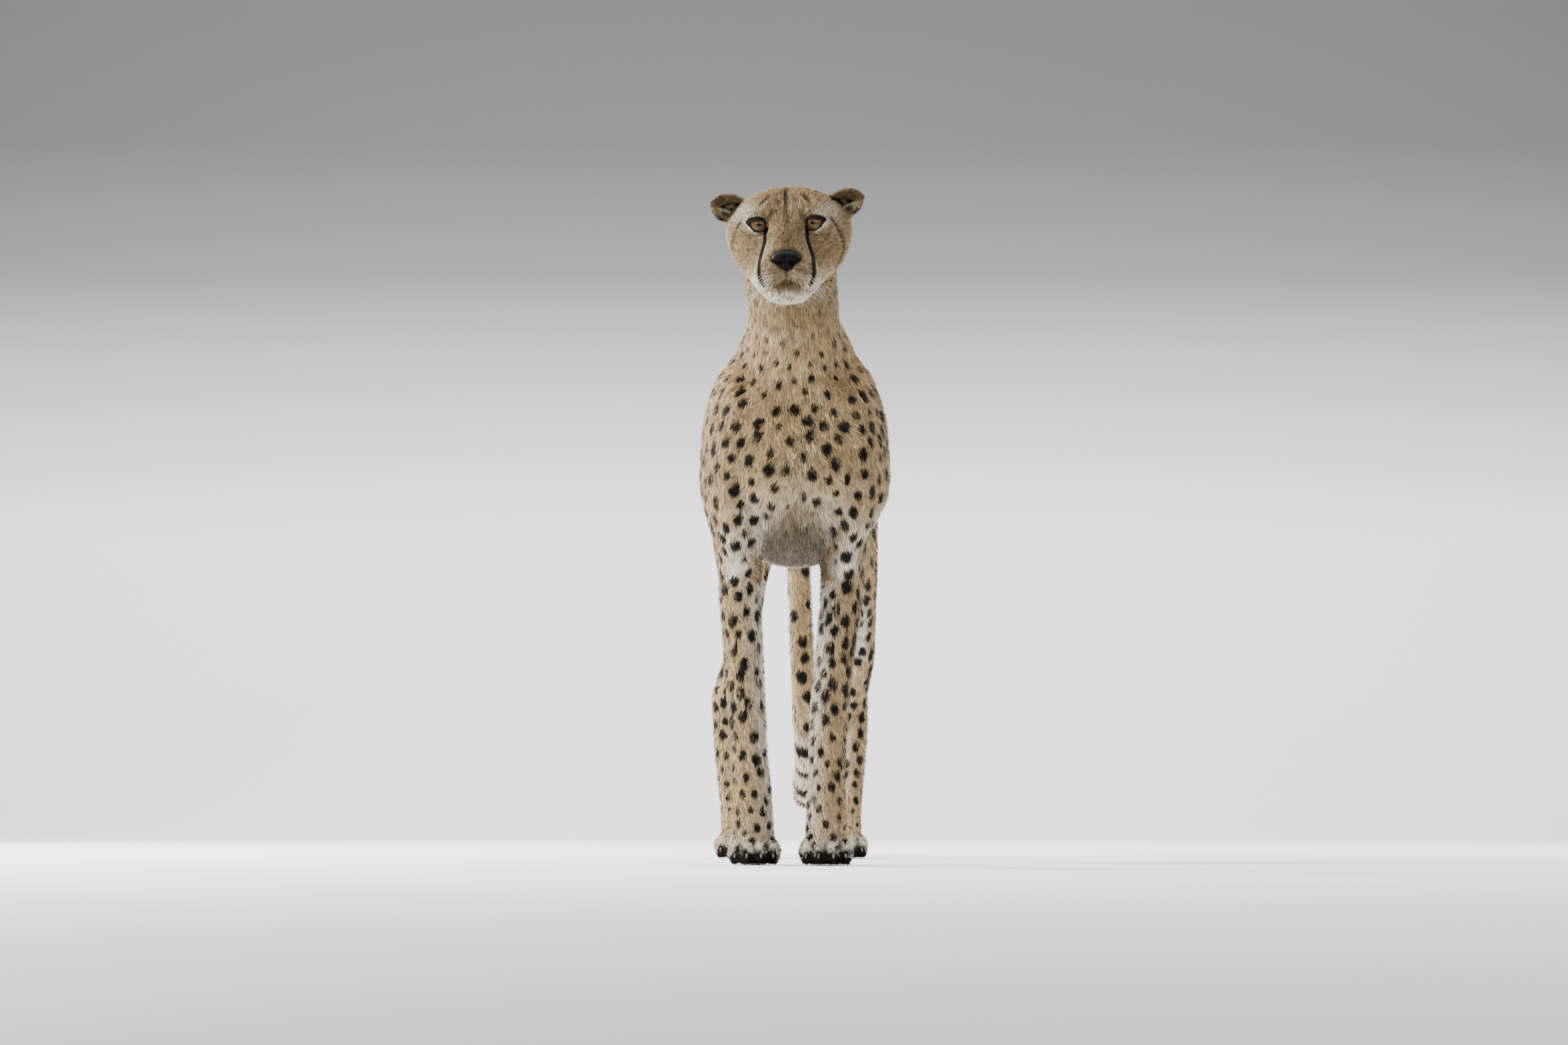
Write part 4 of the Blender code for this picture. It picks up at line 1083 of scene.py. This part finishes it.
def add_node(tree, kind, **values):
    node = tree.nodes.new(f"ShaderNode{kind}")
    set_inputs(node, values)
    return node


def attribute_node(tree, name):
    node = add_node(tree, "Attribute")
    node.attribute_name = name
    return node


def grain_node(tree, kind, scale, **values):
    """A texture fixed to the object's own frame."""
    grain = add_node(tree, kind, Scale=scale, **values)
    tree.links.new(add_node(tree, "TexCoord").outputs["Object"], grain.inputs["Vector"])
    return grain


def noise_node(tree, scale, detail=4.0):
    return grain_node(tree, "TexNoise", scale, Detail=detail, Roughness=0.6)


def add_bump(tree, shader, height, strength, distance):
    bump = add_node(tree, "Bump", Strength=strength, Distance=distance)
    tree.links.new(height, bump.inputs["Height"])
    tree.links.new(bump.outputs["Normal"], shader.inputs["Normal"])


def add_ramp(tree, factor, stops):
    """Colours that run through the stops as the factor grows."""
    ramp = add_node(tree, "ValToRGB")
    marks = ramp.color_ramp.elements
    while len(marks) < len(stops):
        marks.new(0.5)
    for mark, (place, colour) in zip(marks, stops):
        mark.position = place
        mark.color = (*colour, 1)
    tree.links.new(factor, ramp.inputs["Fac"])
    return ramp.outputs["Color"]


def add_toned(tree, shader, colour, noise, spread):
    """Gives the shader a colour that the noise makes lighter and darker."""
    tone = add_node(tree, "MapRange", To_Min=1 - spread, To_Max=1 + spread)
    tree.links.new(noise.outputs["Fac"], tone.inputs["Value"])
    mixed = add_node(tree, "VectorMath")
    mixed.operation = "SCALE"
    tree.links.new(colour, mixed.inputs[0])
    tree.links.new(tone.outputs["Result"], mixed.inputs["Scale"])
    tree.links.new(mixed.outputs["Vector"], shader.inputs["Base Color"])


def marked_material(name, roughness, spread, scale, depth):
    """Fur or skin that takes its colour from the markings, broken up by a fine noise."""
    made, tree, shader = new_material(name, Roughness=roughness, Specular_IOR_Level=0.12)
    noise = noise_node(tree, scale)
    add_toned(tree, shader, attribute_node(tree, "markings").outputs["Color"], noise, spread)
    add_bump(tree, shader, noise.outputs["Fac"], 0.6, depth)
    return made


def clouded_material(name, stops, scale, detail=4.0, **values):
    """A material whose colour runs between the stops with a noise, which comes last."""
    made, tree, shader = new_material(name, **values)
    noise = noise_node(tree, scale, detail).outputs["Fac"]
    tree.links.new(add_ramp(tree, noise, stops), shader.inputs["Base Color"])
    return made, tree, shader, noise


# ------------------------------------------------------------------ coat
HEAD_REGIONS = ("head", "ear")
COAT_PIECES = {
    "coat_muzzle": ("head",),
    "coat_cheeks": ("head",),
    "coat_nape": ("head",),
    "coat_ears": ("ear",),
    "coat_neck": ("neck",),
    "coat_chest": ("thorax",),
    "coat_shoulders": ("upper_arm",),
    "coat_loins": ("abdomen", "rump"),
    "coat_thighs": ("thigh",),
    "coat_forelegs": ("forearm", "forepaw"),
    "coat_hindlegs": ("shank", "metatarsus", "hindpaw"),
    "coat_tail": ("tail_root", "tail_middle", "tail_tip"),
}
# the head's pieces reach from one place to another ahead of the eye line
PIECE_REACH = {"coat_muzzle": (0.026, 1), "coat_cheeks": (-0.030, 0.026), "coat_nape": (-1, -0.030)}
LOCK_TUFTS = 11
LOCK_PULL = 0.52
# a tuft's five points, from its root to its tip: places on its patch, painted shade at the root and
# painted light at the tip, and triangles
TUFT_CORNERS = np.array(((0.0, 0.0), (1.0, 0.0), (0.1, 0.6), (0.9, 0.6), (0.5, 1.0))) - 0.5
TUFT_ROOT_SHADE_TIP_LIGHT = np.array((0.50, 0.50, 0.88, 0.88, 1.25))[:, None]
TUFT_FACES = np.array(((0, 1, 3), (0, 3, 2), (2, 3, 4)))
PATCH = 0.003


class Tufts(NamedTuple):
    """Arrays that describe a scatter of tufts: one row each."""

    root: np.ndarray
    normal: np.ndarray
    lie: np.ndarray
    length: np.ndarray
    width: np.ndarray
    stand: np.ndarray
    shade: np.ndarray
    unwrap: np.ndarray
    region: np.ndarray
    colour: np.ndarray = None  # of its lower half
    tip_colour: np.ndarray = None


def hair_lengths(skin, region):
    """Hair length at each skin vertex, with the longer fringes."""
    points, normals = points_of(skin.data), normals_of(skin.data)
    local = to_head(points)
    flat = folded(local)
    across, ahead, up = flat.T
    head = headness(points)
    bridge = np.exp(-((across / 0.018) ** 2)) * rise(0.02, 0.05, ahead)
    lids = fall(0.003, 0.010, eye_opening(across, up)[0]) * (ahead > -0.02)
    tear, _ = along_line(flat[:, ::2], np.array(FACE_LINES["tear"])[:, ::2])
    tear = fall(0.002, 0.007, tear) * (ahead > 0)
    face = rise(-0.03, 0.02, ahead)
    hair = REGION_TABLE["hair"][region]
    for where, share in ((face, 0.30), (bridge, 0.35), (lids, 0.45), (tear, 0.40)):
        hair = hair * (1 - share * where * head)
    chin = np.exp(-((across / 0.032) ** 2)) * fall(-0.100, -0.092, up) * (ahead > 0.02)
    under_ear = np.exp(-(((across - 0.083) / 0.016) ** 2) - ((up - 0.006) / 0.014) ** 2)
    hair = hair + (0.0070 * ruff_at(local) + 0.0060 * chin) * head
    hair = hair + 0.0075 * under_ear * (ahead < 0.0) * (head > 0)
    hair = hair + 0.0035 * chest_front(points, normals) * np.exp(-((points[:, 0] / 0.05) ** 2))
    belly = rise(0.4, 0.9, -normals[:, 2]) * (points[:, 2] > 0.35) * (1 - head)
    hair = hair + 0.0060 * belly + 0.0035 * toe_tufts(points)
    return spread_one(skin.data, hair, 6)


def ruff_at(local):
    """1 on the long hair at the back of the cheeks."""
    return rise(0.045, 0.070, np.abs(local[:, 0])) * fall(-0.05, 0.02, local[:, 2])


def toe_tufts(points):
    """1 on the band above the toes where the hair is long and stands off."""
    return bump_at(points[:, 2], 0.024, 0.0065) * off_tail(points)


def scatter_tufts(skin, count, chosen, draw, density):
    """Picks roots over the chosen triangles, thicker where the density is higher."""
    points, faces = points_of(skin.data), triangles_of(skin.data)[chosen]
    first, second, third = points[faces].transpose(1, 0, 2)
    area = np.linalg.norm(np.cross(second - first, third - first), axis=1)
    weight = area * density[faces].mean(axis=1)
    picked = draw.choice(len(faces), size=count, p=weight / weight.sum())
    share = draw.dirichlet((1, 1, 1), size=count)
    return faces[picked], share, np.nonzero(chosen)[0][picked]


def tuft_mesh(name, tufts, draw):
    """Each tuft is a thin blade of two lengths: broad at its root, pointed and bowed at its tip."""
    count = len(tufts.root)
    roll = draw.normal(0, 0.45, count)[:, None]
    side = unit(np.cross(tufts.normal, tufts.lie))
    half = unit(side * np.cos(roll) + tufts.normal * np.sin(roll)) * (tufts.width / 2)[:, None]
    length = tufts.length[:, None]
    lean = np.radians(tufts.stand)[:, None]

    def leaning(angle):
        return tufts.lie * np.cos(angle) + tufts.normal * np.sin(angle)

    base = tufts.root - tufts.normal * 0.0006
    middle = tufts.root + 0.45 * length * leaning(np.minimum(lean * 1.9, 1.2))
    tip = middle + 0.60 * length * leaning(lean * 0.35)
    low, high = half, half * 0.8
    rows = np.stack([base - low, base + low, middle - high, middle + high, tip], axis=1)
    faces = (5 * np.arange(count)[:, None, None] + TUFT_FACES).reshape(-1, 3)
    mesh = joined(name, rows.reshape(-1, 3), faces)
    colours = np.repeat(tufts.colour[:, None], 5, axis=1)
    colours[:, 4] = tufts.tip_colour
    # roots painted darker as shade among the hairs, tips painted lighter as light on them
    paint(mesh, (colours * tufts.shade[:, None, None] * TUFT_ROOT_SHADE_TIP_LIGHT).reshape(-1, 3))
    patch = (tufts.unwrap[:, None] + TUFT_CORNERS * PATCH).reshape(-1, 2)
    layer = mesh.uv_layers.new(name="OFBake")
    layer.data.foreach_set("uv", patch[faces.ravel()].astype(np.float32).ravel())
    return mesh


def unwrap_skin(skin):
    """An unwrap of the skin's own shape, as the places on it of each triangle's corners."""
    bpy.context.view_layer.objects.active = skin
    bpy.ops.object.select_all(action="DESELECT")
    skin.select_set(True)
    bpy.ops.object.mode_set(mode="EDIT")
    bpy.ops.mesh.select_all(action="SELECT")
    bpy.ops.uv.smart_project(angle_limit=math.radians(66), island_margin=0.002)
    bpy.ops.object.mode_set(mode="OBJECT")
    layer = skin.data.uv_layers.active
    layer.name = "OFBake"
    places = read(layer.data, "uv", 2)
    skin.data.calc_loop_triangles()
    return places[read(skin.data.loop_triangles, "loops", 3, np.int32)]


def grow(skin, settings):
    """Scatters the tufts, pulls them into small locks and makes the coat's pieces."""
    draw = np.random.default_rng(settings.seed)
    region, points = bench["region"], points_of(skin.data)
    local = to_head(points)
    hair = hair_lengths(skin, region)
    width = spread_one(skin.data, REGION_TABLE["width"][region], 6)
    lifted = 14 * ruff_at(local) + 12 * rise(0.035, 0.050, local[:, 2])
    stand = REGION_TABLE["stand"][region] + 22 * toe_tufts(points) + lifted * headness(points)
    stand = spread_one(skin.data, stand, 6)
    density = (1 - bare_skin(points)) / (hair * width)
    places = unwrap_skin(skin)
    on_head = np.isin(REGION_NAMES[region[triangles_of(skin.data)[:, 0]]], HEAD_REGIONS)
    for chosen, count in ((on_head, settings.head_tufts), (~on_head, settings.body_tufts)):
        corner, share, triangle = scatter_tufts(skin, count, chosen, draw, density)

        def blended(values):
            return np.einsum("ij,ij...->i...", share, values[corner])

        tufts = Tufts(
            root=blended(points),
            normal=unit(blended(bench["normals"])),
            lie=unit(blended(bench["lie"])),
            length=blended(hair) * draw.uniform(0.65, 1.25, count),
            width=blended(width) * draw.uniform(0.8, 1.25, count),
            stand=blended(stand) * draw.uniform(0.5, 1.7, count),
            shade=draw.uniform(0.50, 1.42, count),
            unwrap=np.einsum("ij,ijk->ik", share, places[triangle]),
            region=region[corner[:, 0]],
        )
        tufts = in_locks(tufts, draw)
        coat_pieces(tufts, draw, chosen is on_head)


def bare_skin(points):
    """1 where no hair grows: lids' rims, lips, the nose's bed and the soles."""
    flat = folded(to_head(points))
    across, ahead, up = flat.T
    band = np.maximum(0.0011, 0.62 * lid_band(across, up))
    lids = fall(band - 0.0003, band + 0.0003, eye_opening(across, up)[0]) * (ahead > -0.016)
    lips = fall(0.0005, 0.0009, along_line(flat, bench["face_lines"]["mouth"])[0])
    nose = fall(0.97, 1.02, from_leather(across, up)) * (ahead > 0.05)
    face = np.maximum.reduce([lids, lips, nose]) * (headness(points) > 0.01)
    soles = fall(0.0025, 0.0040, points[:, 2])
    return np.maximum.reduce([face, soles, fall(0.0040, 0.0050, from_claws(points))])


def in_locks(tufts, draw):
    """Turns each tuft a little, draws them together into locks, and shades and colours them."""
    count = len(tufts.root)
    centres = draw.choice(count, size=count // LOCK_TUFTS, replace=False)
    tree = tree_of_points(tufts.root[centres])
    mine = centres[[tree.find(p)[1] for p in tufts.root.tolist()]]
    side = np.cross(tufts.normal, tufts.lie)
    sway = 0.30 * cloud_noise(tufts.root, 0.05, 51) + 0.16 * cloud_noise(tufts.root, 0.016, 52)
    turn = (sway + draw.normal(0, 0.26, count))[:, None]
    lie = tufts.lie * np.cos(turn) + side * np.sin(turn)
    goal = tufts.root[mine] + lie[mine] * (tufts.length[mine] * 1.05)[:, None]
    toward = unit(laid_flat(goal - tufts.root, tufts.normal))
    lie = unit(lie * (1 - LOCK_PULL) + toward * LOCK_PULL)
    reach = lie * tufts.length[:, None]
    return tufts._replace(
        lie=lie,
        shade=tufts.shade * draw.uniform(0.68, 1.32, count)[mine],
        colour=coat_colour(tufts.root + 0.50 * reach, tufts.normal, tufts.region),
        tip_colour=coat_colour(tufts.root + 0.90 * reach, tufts.normal, tufts.region),
    )


def coat_pieces(tufts, draw, on_head):
    """Splits a scatter of tufts into pieces by region and makes each one's mesh."""
    zone, ahead = REGION_NAMES[tufts.region], to_head(tufts.root)[:, 1]
    for name, regions in COAT_PIECES.items():
        if (regions[0] in HEAD_REGIONS) == on_head:
            low, high = PIECE_REACH.get(name, (-9, 9))
            rows = np.nonzero(np.isin(zone, regions) & (ahead > low) & (ahead <= high))[0]
            mesh = tuft_mesh(name, Tufts(*(column[rows] for column in tufts)), draw)
            dressed(name, mesh, bench["fur"], "fur")


# ------------------------------------------------------------------ eyes, nose and whiskers
def closed_rings(rings, start, end):
    """Points and triangles of a row of rings, closed by one point before it and one after."""
    here = np.arange(rings.shape[0] * rings.shape[1]).reshape(rings.shape[:2])
    beside = np.roll(here, -1, axis=1)
    a, b, c, d = here[:-1], beside[:-1], here[1:], beside[1:]
    first, last = np.full_like(here[0], here.size), np.full_like(here[0], here.size + 1)
    faces = [(a, c, b), (b, c, d), (first, here[0], beside[0]), (last, beside[-1], here[-1])]
    faces = np.vstack([np.stack(face, axis=-1).reshape(-1, 3) for face in faces])
    return np.vstack([rings.reshape(-1, 3), start, end]), faces


EYE_RINGS, EYE_SIDES = 72, 64
EYE_BALL = 0.985 * EYE_RADIUS
EYE_SWELL = 0.035  # of the clear front


def eye_mesh(name, side):
    """An eyeball with its clear front swelling a little; rings run round the line of sight."""
    sight = unit(np.array((-side * 0.19, 1.0, 0.06)))
    across = unit(np.cross((0, 0, 1), sight))
    tilt = np.linspace(0, math.pi, EYE_RINGS + 1)[1:-1, None, None]
    turn = np.linspace(0, 2 * math.pi, EYE_SIDES, endpoint=False)[:, None]
    # the head's own axes are left-handed, so the rings turn clockwise there to face outward
    spoke = np.cos(turn) * across + np.sin(turn) * np.cross(across, sight)
    radius = EYE_BALL * (1 + EYE_SWELL * np.exp(-((tilt / 0.62) ** 4)))
    rings = radius * (np.cos(tilt) * sight + np.sin(tilt) * spoke)
    local, faces = closed_rings(rings, EYE_BALL * (1 + EYE_SWELL) * sight, -EYE_BALL * sight)
    mesh = joined(name, from_head(local + (side * EYE_OUT, EYE_FORWARD, 0)), faces)
    angle = np.append(np.repeat(tilt, EYE_SIDES), (0, math.pi))
    layer = mesh.attributes.new("from_sight", "FLOAT", "POINT")
    layer.data.foreach_set("value", (angle / math.pi).astype(np.float32))
    return mesh


PUPIL, EYE_RIM = (0.001, 0.001, 0.001), (0.004, 0.003, 0.003)
IRIS_SHADES = ((0.050, 0.5), (0.095, 1.1), (0.200, 0.8), (0.255, 0.35))


def eye_material(iris):
    made, tree, shader = new_material(
        "wet amber eye",
        Roughness=0.55,
        Specular_IOR_Level=0.1,
        Coat_Weight=1.0,
        Coat_Roughness=0.02,
        Coat_IOR=1.38,
    )
    shades = [(place, [share * part for part in iris]) for place, share in IRIS_SHADES]
    stops = [(0.0, PUPIL), (0.042, PUPIL), *shades, (0.285, EYE_RIM), (1.0, EYE_RIM)]
    colour = add_ramp(tree, attribute_node(tree, "from_sight").outputs["Fac"], stops)
    add_toned(tree, shader, colour, noise_node(tree, 900.0, 3.0), 0.35)
    return made


NOSTRIL = ((0.0062, -0.0030), (0.0088, -0.0042), (0.0128, -0.0025), (0.0172, 0.0010))


def nose_mesh():
    """The nose leather: broad above, narrow below, with comma nostrils and a middle groove."""
    bm = bmesh.new()
    bmesh.ops.create_uvsphere(bm, u_segments=112, v_segments=80, radius=1.0)
    mesh = mesh_from(bm, "nose_leather")
    x, y, z = (points_of(mesh) * (1, -1, 1)).T
    y = np.sign(y) * np.sqrt(np.maximum(1 - (1 - np.minimum(y**2, 1)) ** 2.6, 0))
    local = np.stack([x * nose_width(z), y * NOSE_HALF[1], z * NOSE_HALF[2]], axis=1)
    across, _, up = folded(local).T
    hole, place = along_line(np.stack([across, up], axis=1), NOSTRIL)
    bore = np.interp(place, (0, 0.35, 1), (0.0023, 0.0025, 0.0011))
    depth = np.interp(place, (0, 0.4, 1), (0.0062, 0.0062, 0.0022))
    carved = 0.0009 * bump_at(hole, bore * 1.55, 0.0010) - depth * np.exp(-((hole / bore) ** 3))
    carved = carved - 0.0011 * bump_at(across, 0, 0.0008) * (up < 0.006)
    local[:, 1] += rise(-0.1, 0.35, y) * carved - NOSE_SET - 0.0030 * rise(0.1, 1.0, z)
    move_points(mesh, from_head(local + (0, NOSE_AHEAD, NOSE_UP)))
    mesh.shade_smooth()
    return mesh


def leather_material():
    stops = ((0, (0.003, 0.0027, 0.0027)), (1, (0.010, 0.0080, 0.0080)))
    made, tree, shader, _ = clouded_material(
        "damp nose leather", stops, 160.0, Roughness=0.55, Specular_IOR_Level=0.05
    )
    cells = grain_node(tree, "TexVoronoi", 1100.0)
    add_bump(tree, shader, cells.outputs["Distance"], 0.5, 0.0005)
    return made


def horn_material():
    stops = ((0.35, (0.10, 0.075, 0.055)), (0.7, (0.42, 0.35, 0.27)))
    made, tree, shader, noise = clouded_material("claw horn", stops, 420.0, 6.0, Roughness=0.32)
    add_bump(tree, shader, noise, 0.4, 0.0004)
    return made


def whisker_material():
    stops = ((0, (0.62, 0.58, 0.50)), (1, (0.85, 0.83, 0.78)))
    return clouded_material("pale whisker", stops, 300.0, Roughness=0.35)[0]


def tube(path, radii, sides=5):
    """Points and triangles of a tapering tube that ends in a point."""
    ways = unit(np.gradient(path, axis=0))
    across = unit(np.cross(ways, (0.13, 0.31, 0.94)))[:-1, None]
    lift = np.cross(ways[:-1, None], across)
    turn = np.linspace(0, 2 * math.pi, sides, endpoint=False)[:, None]
    spoke = np.cos(turn) * across + np.sin(turn) * lift
    rings = path[:-1, None] + spoke * radii[:-1, None, None]
    return closed_rings(rings[::-1], path[-1], path[0])


def whisker_mesh(settings):
    """Whiskers in rows on each pad."""
    draw = np.random.default_rng(5)
    tree = tree_of(bench["skin"].data)
    share = np.linspace(0, 1, 9)[:, None]
    points, faces = [], []
    for i in range(2 * settings.whiskers):
        side = -1 if i < settings.whiskers else 1
        place, row = divmod(i % settings.whiskers, WHISKER_ROWS)
        across = 0.0150 + 0.0055 * place + 0.0015 * (row % 2)
        up = -0.0640 - 0.0050 * row - 0.0006 * place
        sink = -0.62 - 0.10 * row + draw.uniform(-0.12, 0.12)
        way = unit(np.array((side * (0.55 + 0.10 * place), 0.30 - 0.25 * place, sink)))
        length = settings.whisker_length * (0.60 + 0.13 * place) * draw.uniform(0.8, 1.0)
        droop = draw.uniform(0.15, 0.30)
        start = from_head(np.array([(side * across, 0.2, up)]))[0]
        found = tree.ray_cast(Vector(start), Vector(HEAD_AXES[1]))[0]
        if found is None:
            raise ValueError("a whisker's root misses the face")
        path = to_head(np.array([found])) - (0, 0.001, 0) + way * share * length
        path[:, 2] -= droop * length * share[:, 0] ** 2
        shape, corners = tube(from_head(path), 0.00020 * (1 - 0.9 * share[:, 0]))
        faces.append(corners + sum(map(len, points)))
        points.append(shape)
    return joined("whiskers", np.vstack(points), np.vstack(faces))


# ------------------------------------------------------------------ stage
SWEEP_START, SWEEP_RADIUS = 3.2, 1.6
# greys of the backdrop, from its lowest height to its highest
BACKDROP_HEIGHTS = (0.4, 2.2)
BACKDROP_GREYS = (
    (0.0, 0.90), (0.20, 0.88), (0.40, 0.50), (0.60, 0.185), (0.80, 0.100), (1.0, 0.085)
)


def aimed(name, data, place, aim):
    """Hangs a lamp or a camera at a place, turned to another."""
    made = linked(name, data)
    made.location = place
    made.rotation_euler = (Vector(aim) - Vector(place)).to_track_quat("-Z", "Y").to_euler()
    return made


def area_light(name, place, aim, size, power):
    lamp = bpy.data.lights.new(name, "AREA")
    lamp.shape = "RECTANGLE"
    lamp.size, lamp.size_y = size
    lamp.energy = power
    aimed(name, lamp, place, aim)


def floor_and_backdrop():
    """A pale floor that sweeps up into a backdrop, lighter below and grey above."""
    profile = [(-7.0, 0.0)]
    for turn in np.radians(np.linspace(0, 90, 13)):
        up = SWEEP_RADIUS * (1 - math.cos(turn))
        profile.append((SWEEP_START + SWEEP_RADIUS * math.sin(turn), up))
    profile.append((SWEEP_START + SWEEP_RADIUS, 6.5))
    bm = bmesh.new()
    rows = [[bm.verts.new((x, y, z)) for x in (-9.0, 9.0)] for y, z in profile]
    for low, high in zip(rows, rows[1:]):
        bm.faces.new((low[0], low[1], high[1], high[0]))
    floor = linked("floor", mesh_from(bm, "floor"))
    floor.data.shade_smooth()
    made, tree, shader = new_material("pale studio sweep", Roughness=0.75)
    split = add_node(tree, "SeparateXYZ")
    where = add_node(tree, "NewGeometry").outputs["Position"]
    tree.links.new(where, split.inputs["Vector"])
    low, high = BACKDROP_HEIGHTS
    height = add_node(tree, "MapRange", From_Min=low, From_Max=high)
    tree.links.new(split.outputs["Z"], height.inputs["Value"])
    stops = [(place, (grey, grey, grey)) for place, grey in BACKDROP_GREYS]
    colour = add_ramp(tree, height.outputs["Result"], stops)
    tree.links.new(colour, shader.inputs["Base Color"])
    add_bump(tree, shader, noise_node(tree, 25.0).outputs["Fac"], 0.15, 0.002)
    floor.data.materials.append(made)
    return floor


def set_camera(settings):
    low = min(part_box(name)[0].y for name in nodes_of("forepaw"))
    camera = bpy.data.cameras.new("camera")
    camera.sensor_width = 36.0
    camera.lens = camera.sensor_width * settings.distance / settings.view_width
    place = (0.0, low - settings.distance, settings.camera_height)
    aim = (settings.aim_side, low, settings.aim_height)
    bpy.context.scene.camera = aimed("camera", camera, place, aim)


# ------------------------------------------------------------------ operators
class Step:
    """What all the operators share: each runs its step on the scene."""

    def execute(self, context):
        self.run(context.scene)
        return {"FINISHED"}


class CHEETAH_OT_skin(Step, bpy.types.Operator):
    """Close the flesh into one skin, shape the face and paint the markings"""

    bl_idname = "cheetah.skin"
    bl_label = "Skin"

    def run(self, scene):
        skin = build_skin(scene.cheetah_skin)
        spots = points_of(skin.data)
        region = regions_at(spots)
        bench.update(skin=skin, region=region, normals=normals_of(skin.data), tail=tail_line())
        bench["lie"] = coat_lie(skin, region)
        tree = tree_of(skin.data)
        bench["face_lines"] = {
            name: laid_on(tree, line, from_front=name == "tear")
            for name, line in FACE_LINES.items()
        }
        scatter_spots(skin, region, scene.cheetah_markings.seed)
        paint(skin.data, 0.8 * coat_colour(spots, bench["normals"], region))
        material = marked_material("skin under the coat", 0.7, 0.18, 900.0, 0.0012)
        skin.data.materials.append(material)
        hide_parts(*nodes_of(*REGIONS))
        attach(skin, "root")


class CHEETAH_OT_coat(Step, bpy.types.Operator):
    """Grow the tufts of the coat"""

    bl_idname = "cheetah.coat"
    bl_label = "Coat"

    def run(self, scene):
        bench["fur"] = marked_material("short spotted fur", 0.62, 0.12, 700.0, 0.0005)
        grow(bench["skin"], scene.cheetah_coat)


class CHEETAH_OT_eyes(Step, bpy.types.Operator):
    """Make the eyeballs"""

    bl_idname = "cheetah.eyes"
    bl_label = "Eyes"

    def run(self, scene):
        material = eye_material(scene.cheetah_face.iris)
        for side, node in ((1, "left_eye"), (-1, "right_eye")):
            name = f"{node}_ball"
            dressed(name, eye_mesh(name, side), material, "eye", node)


class CHEETAH_OT_nose(Step, bpy.types.Operator):
    """Shape the nose leather"""

    bl_idname = "cheetah.nose"
    bl_label = "Nose"

    def run(self, scene):
        dressed("nose_leather", nose_mesh(), leather_material(), "nose_leather", "nose")


class CHEETAH_OT_claws(Step, bpy.types.Operator):
    """Round the claws and give them horn"""

    bl_idname = "cheetah.claws"
    bl_label = "Claws"

    def run(self, scene):
        horn = horn_material()
        for name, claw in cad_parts.items():
            if "claw" in name:
                rounding = claw.modifiers.new("rounding", "SUBSURF")
                rounding.levels = rounding.render_levels = 2
                claw.data.materials.clear()
                claw.data.materials.append(horn)


class CHEETAH_OT_whiskers(Step, bpy.types.Operator):
    """Set the whiskers"""

    bl_idname = "cheetah.whiskers"
    bl_label = "Whiskers"

    def run(self, scene):
        dressed("whiskers", whisker_mesh(scene.cheetah_face), whisker_material(), "fur")


class CHEETAH_OT_stage(Step, bpy.types.Operator):
    """Lay the floor, hang the lights and place the camera"""

    bl_idname = "cheetah.stage"
    bl_label = "Stage"

    def run(self, scene):
        floor_and_backdrop()
        set_camera(scene.cheetah_stage)
        front = frame_bounds[0].y
        chest = (0, front + 0.2, 0.55)
        area_light("key", (-3.2, -1.2, 2.5), chest, (1.0, 1.0), 280.0)
        area_light("rim", (-2.2, 1.6, 2.2), chest, (0.9, 1.6), 200.0)
        area_light("rim_right", (2.4, 1.6, 1.8), chest, (0.8, 1.4), 60.0)
        area_light("strip", (1.5, front - 4.0, 2.0), (0.0, front, 0.8), (7.0, 0.25), 85.0)
        area_light("backdrop", (0.0, 0.6, 5.2), (0.0, 4.2, 0.6), (6.0, 1.0), 640.0)
        world = bpy.data.worlds.new("studio")
        world.use_nodes = True
        sky = world.node_tree.nodes["Background"]
        set_inputs(sky, {"Color": (0.75, 0.75, 0.76, 1), "Strength": 0.22})
        scene.world = world


OPERATORS = (
    CHEETAH_OT_skin,
    CHEETAH_OT_coat,
    CHEETAH_OT_eyes,
    CHEETAH_OT_nose,
    CHEETAH_OT_claws,
    CHEETAH_OT_whiskers,
    CHEETAH_OT_stage,
)


class CHEETAH_PT_panel(bpy.types.Panel):
    """Steps that dress the cheetah, in order"""

    bl_idname = "CHEETAH_PT_panel"
    bl_label = "Cheetah"
    bl_space_type = "VIEW_3D"
    bl_region_type = "UI"
    bl_category = "Cheetah"

    def draw(self, context):
        for operator in OPERATORS:
            self.layout.operator(operator.bl_idname)
        for attribute, group in SETTINGS.items():
            box = self.layout.box()
            for key in group.__annotations__:
                box.prop(getattr(context.scene, attribute), key)


CLASSES = (*SETTINGS.values(), *OPERATORS, CHEETAH_PT_panel)


def register():
    for made in CLASSES:
        bpy.utils.register_class(made)
    for attribute, group in SETTINGS.items():
        setattr(bpy.types.Scene, attribute, PointerProperty(type=group))


def unregister():
    for attribute in SETTINGS:
        delattr(bpy.types.Scene, attribute)
    for made in reversed(CLASSES):
        bpy.utils.unregister_class(made)


def main():
    register()
    bpy.ops.cheetah.skin()
    bpy.ops.cheetah.coat()
    bpy.ops.cheetah.eyes()
    bpy.ops.cheetah.nose()
    bpy.ops.cheetah.claws()
    bpy.ops.cheetah.whiskers()
    bpy.ops.cheetah.stage()


if __name__ == "__main__":
    main()
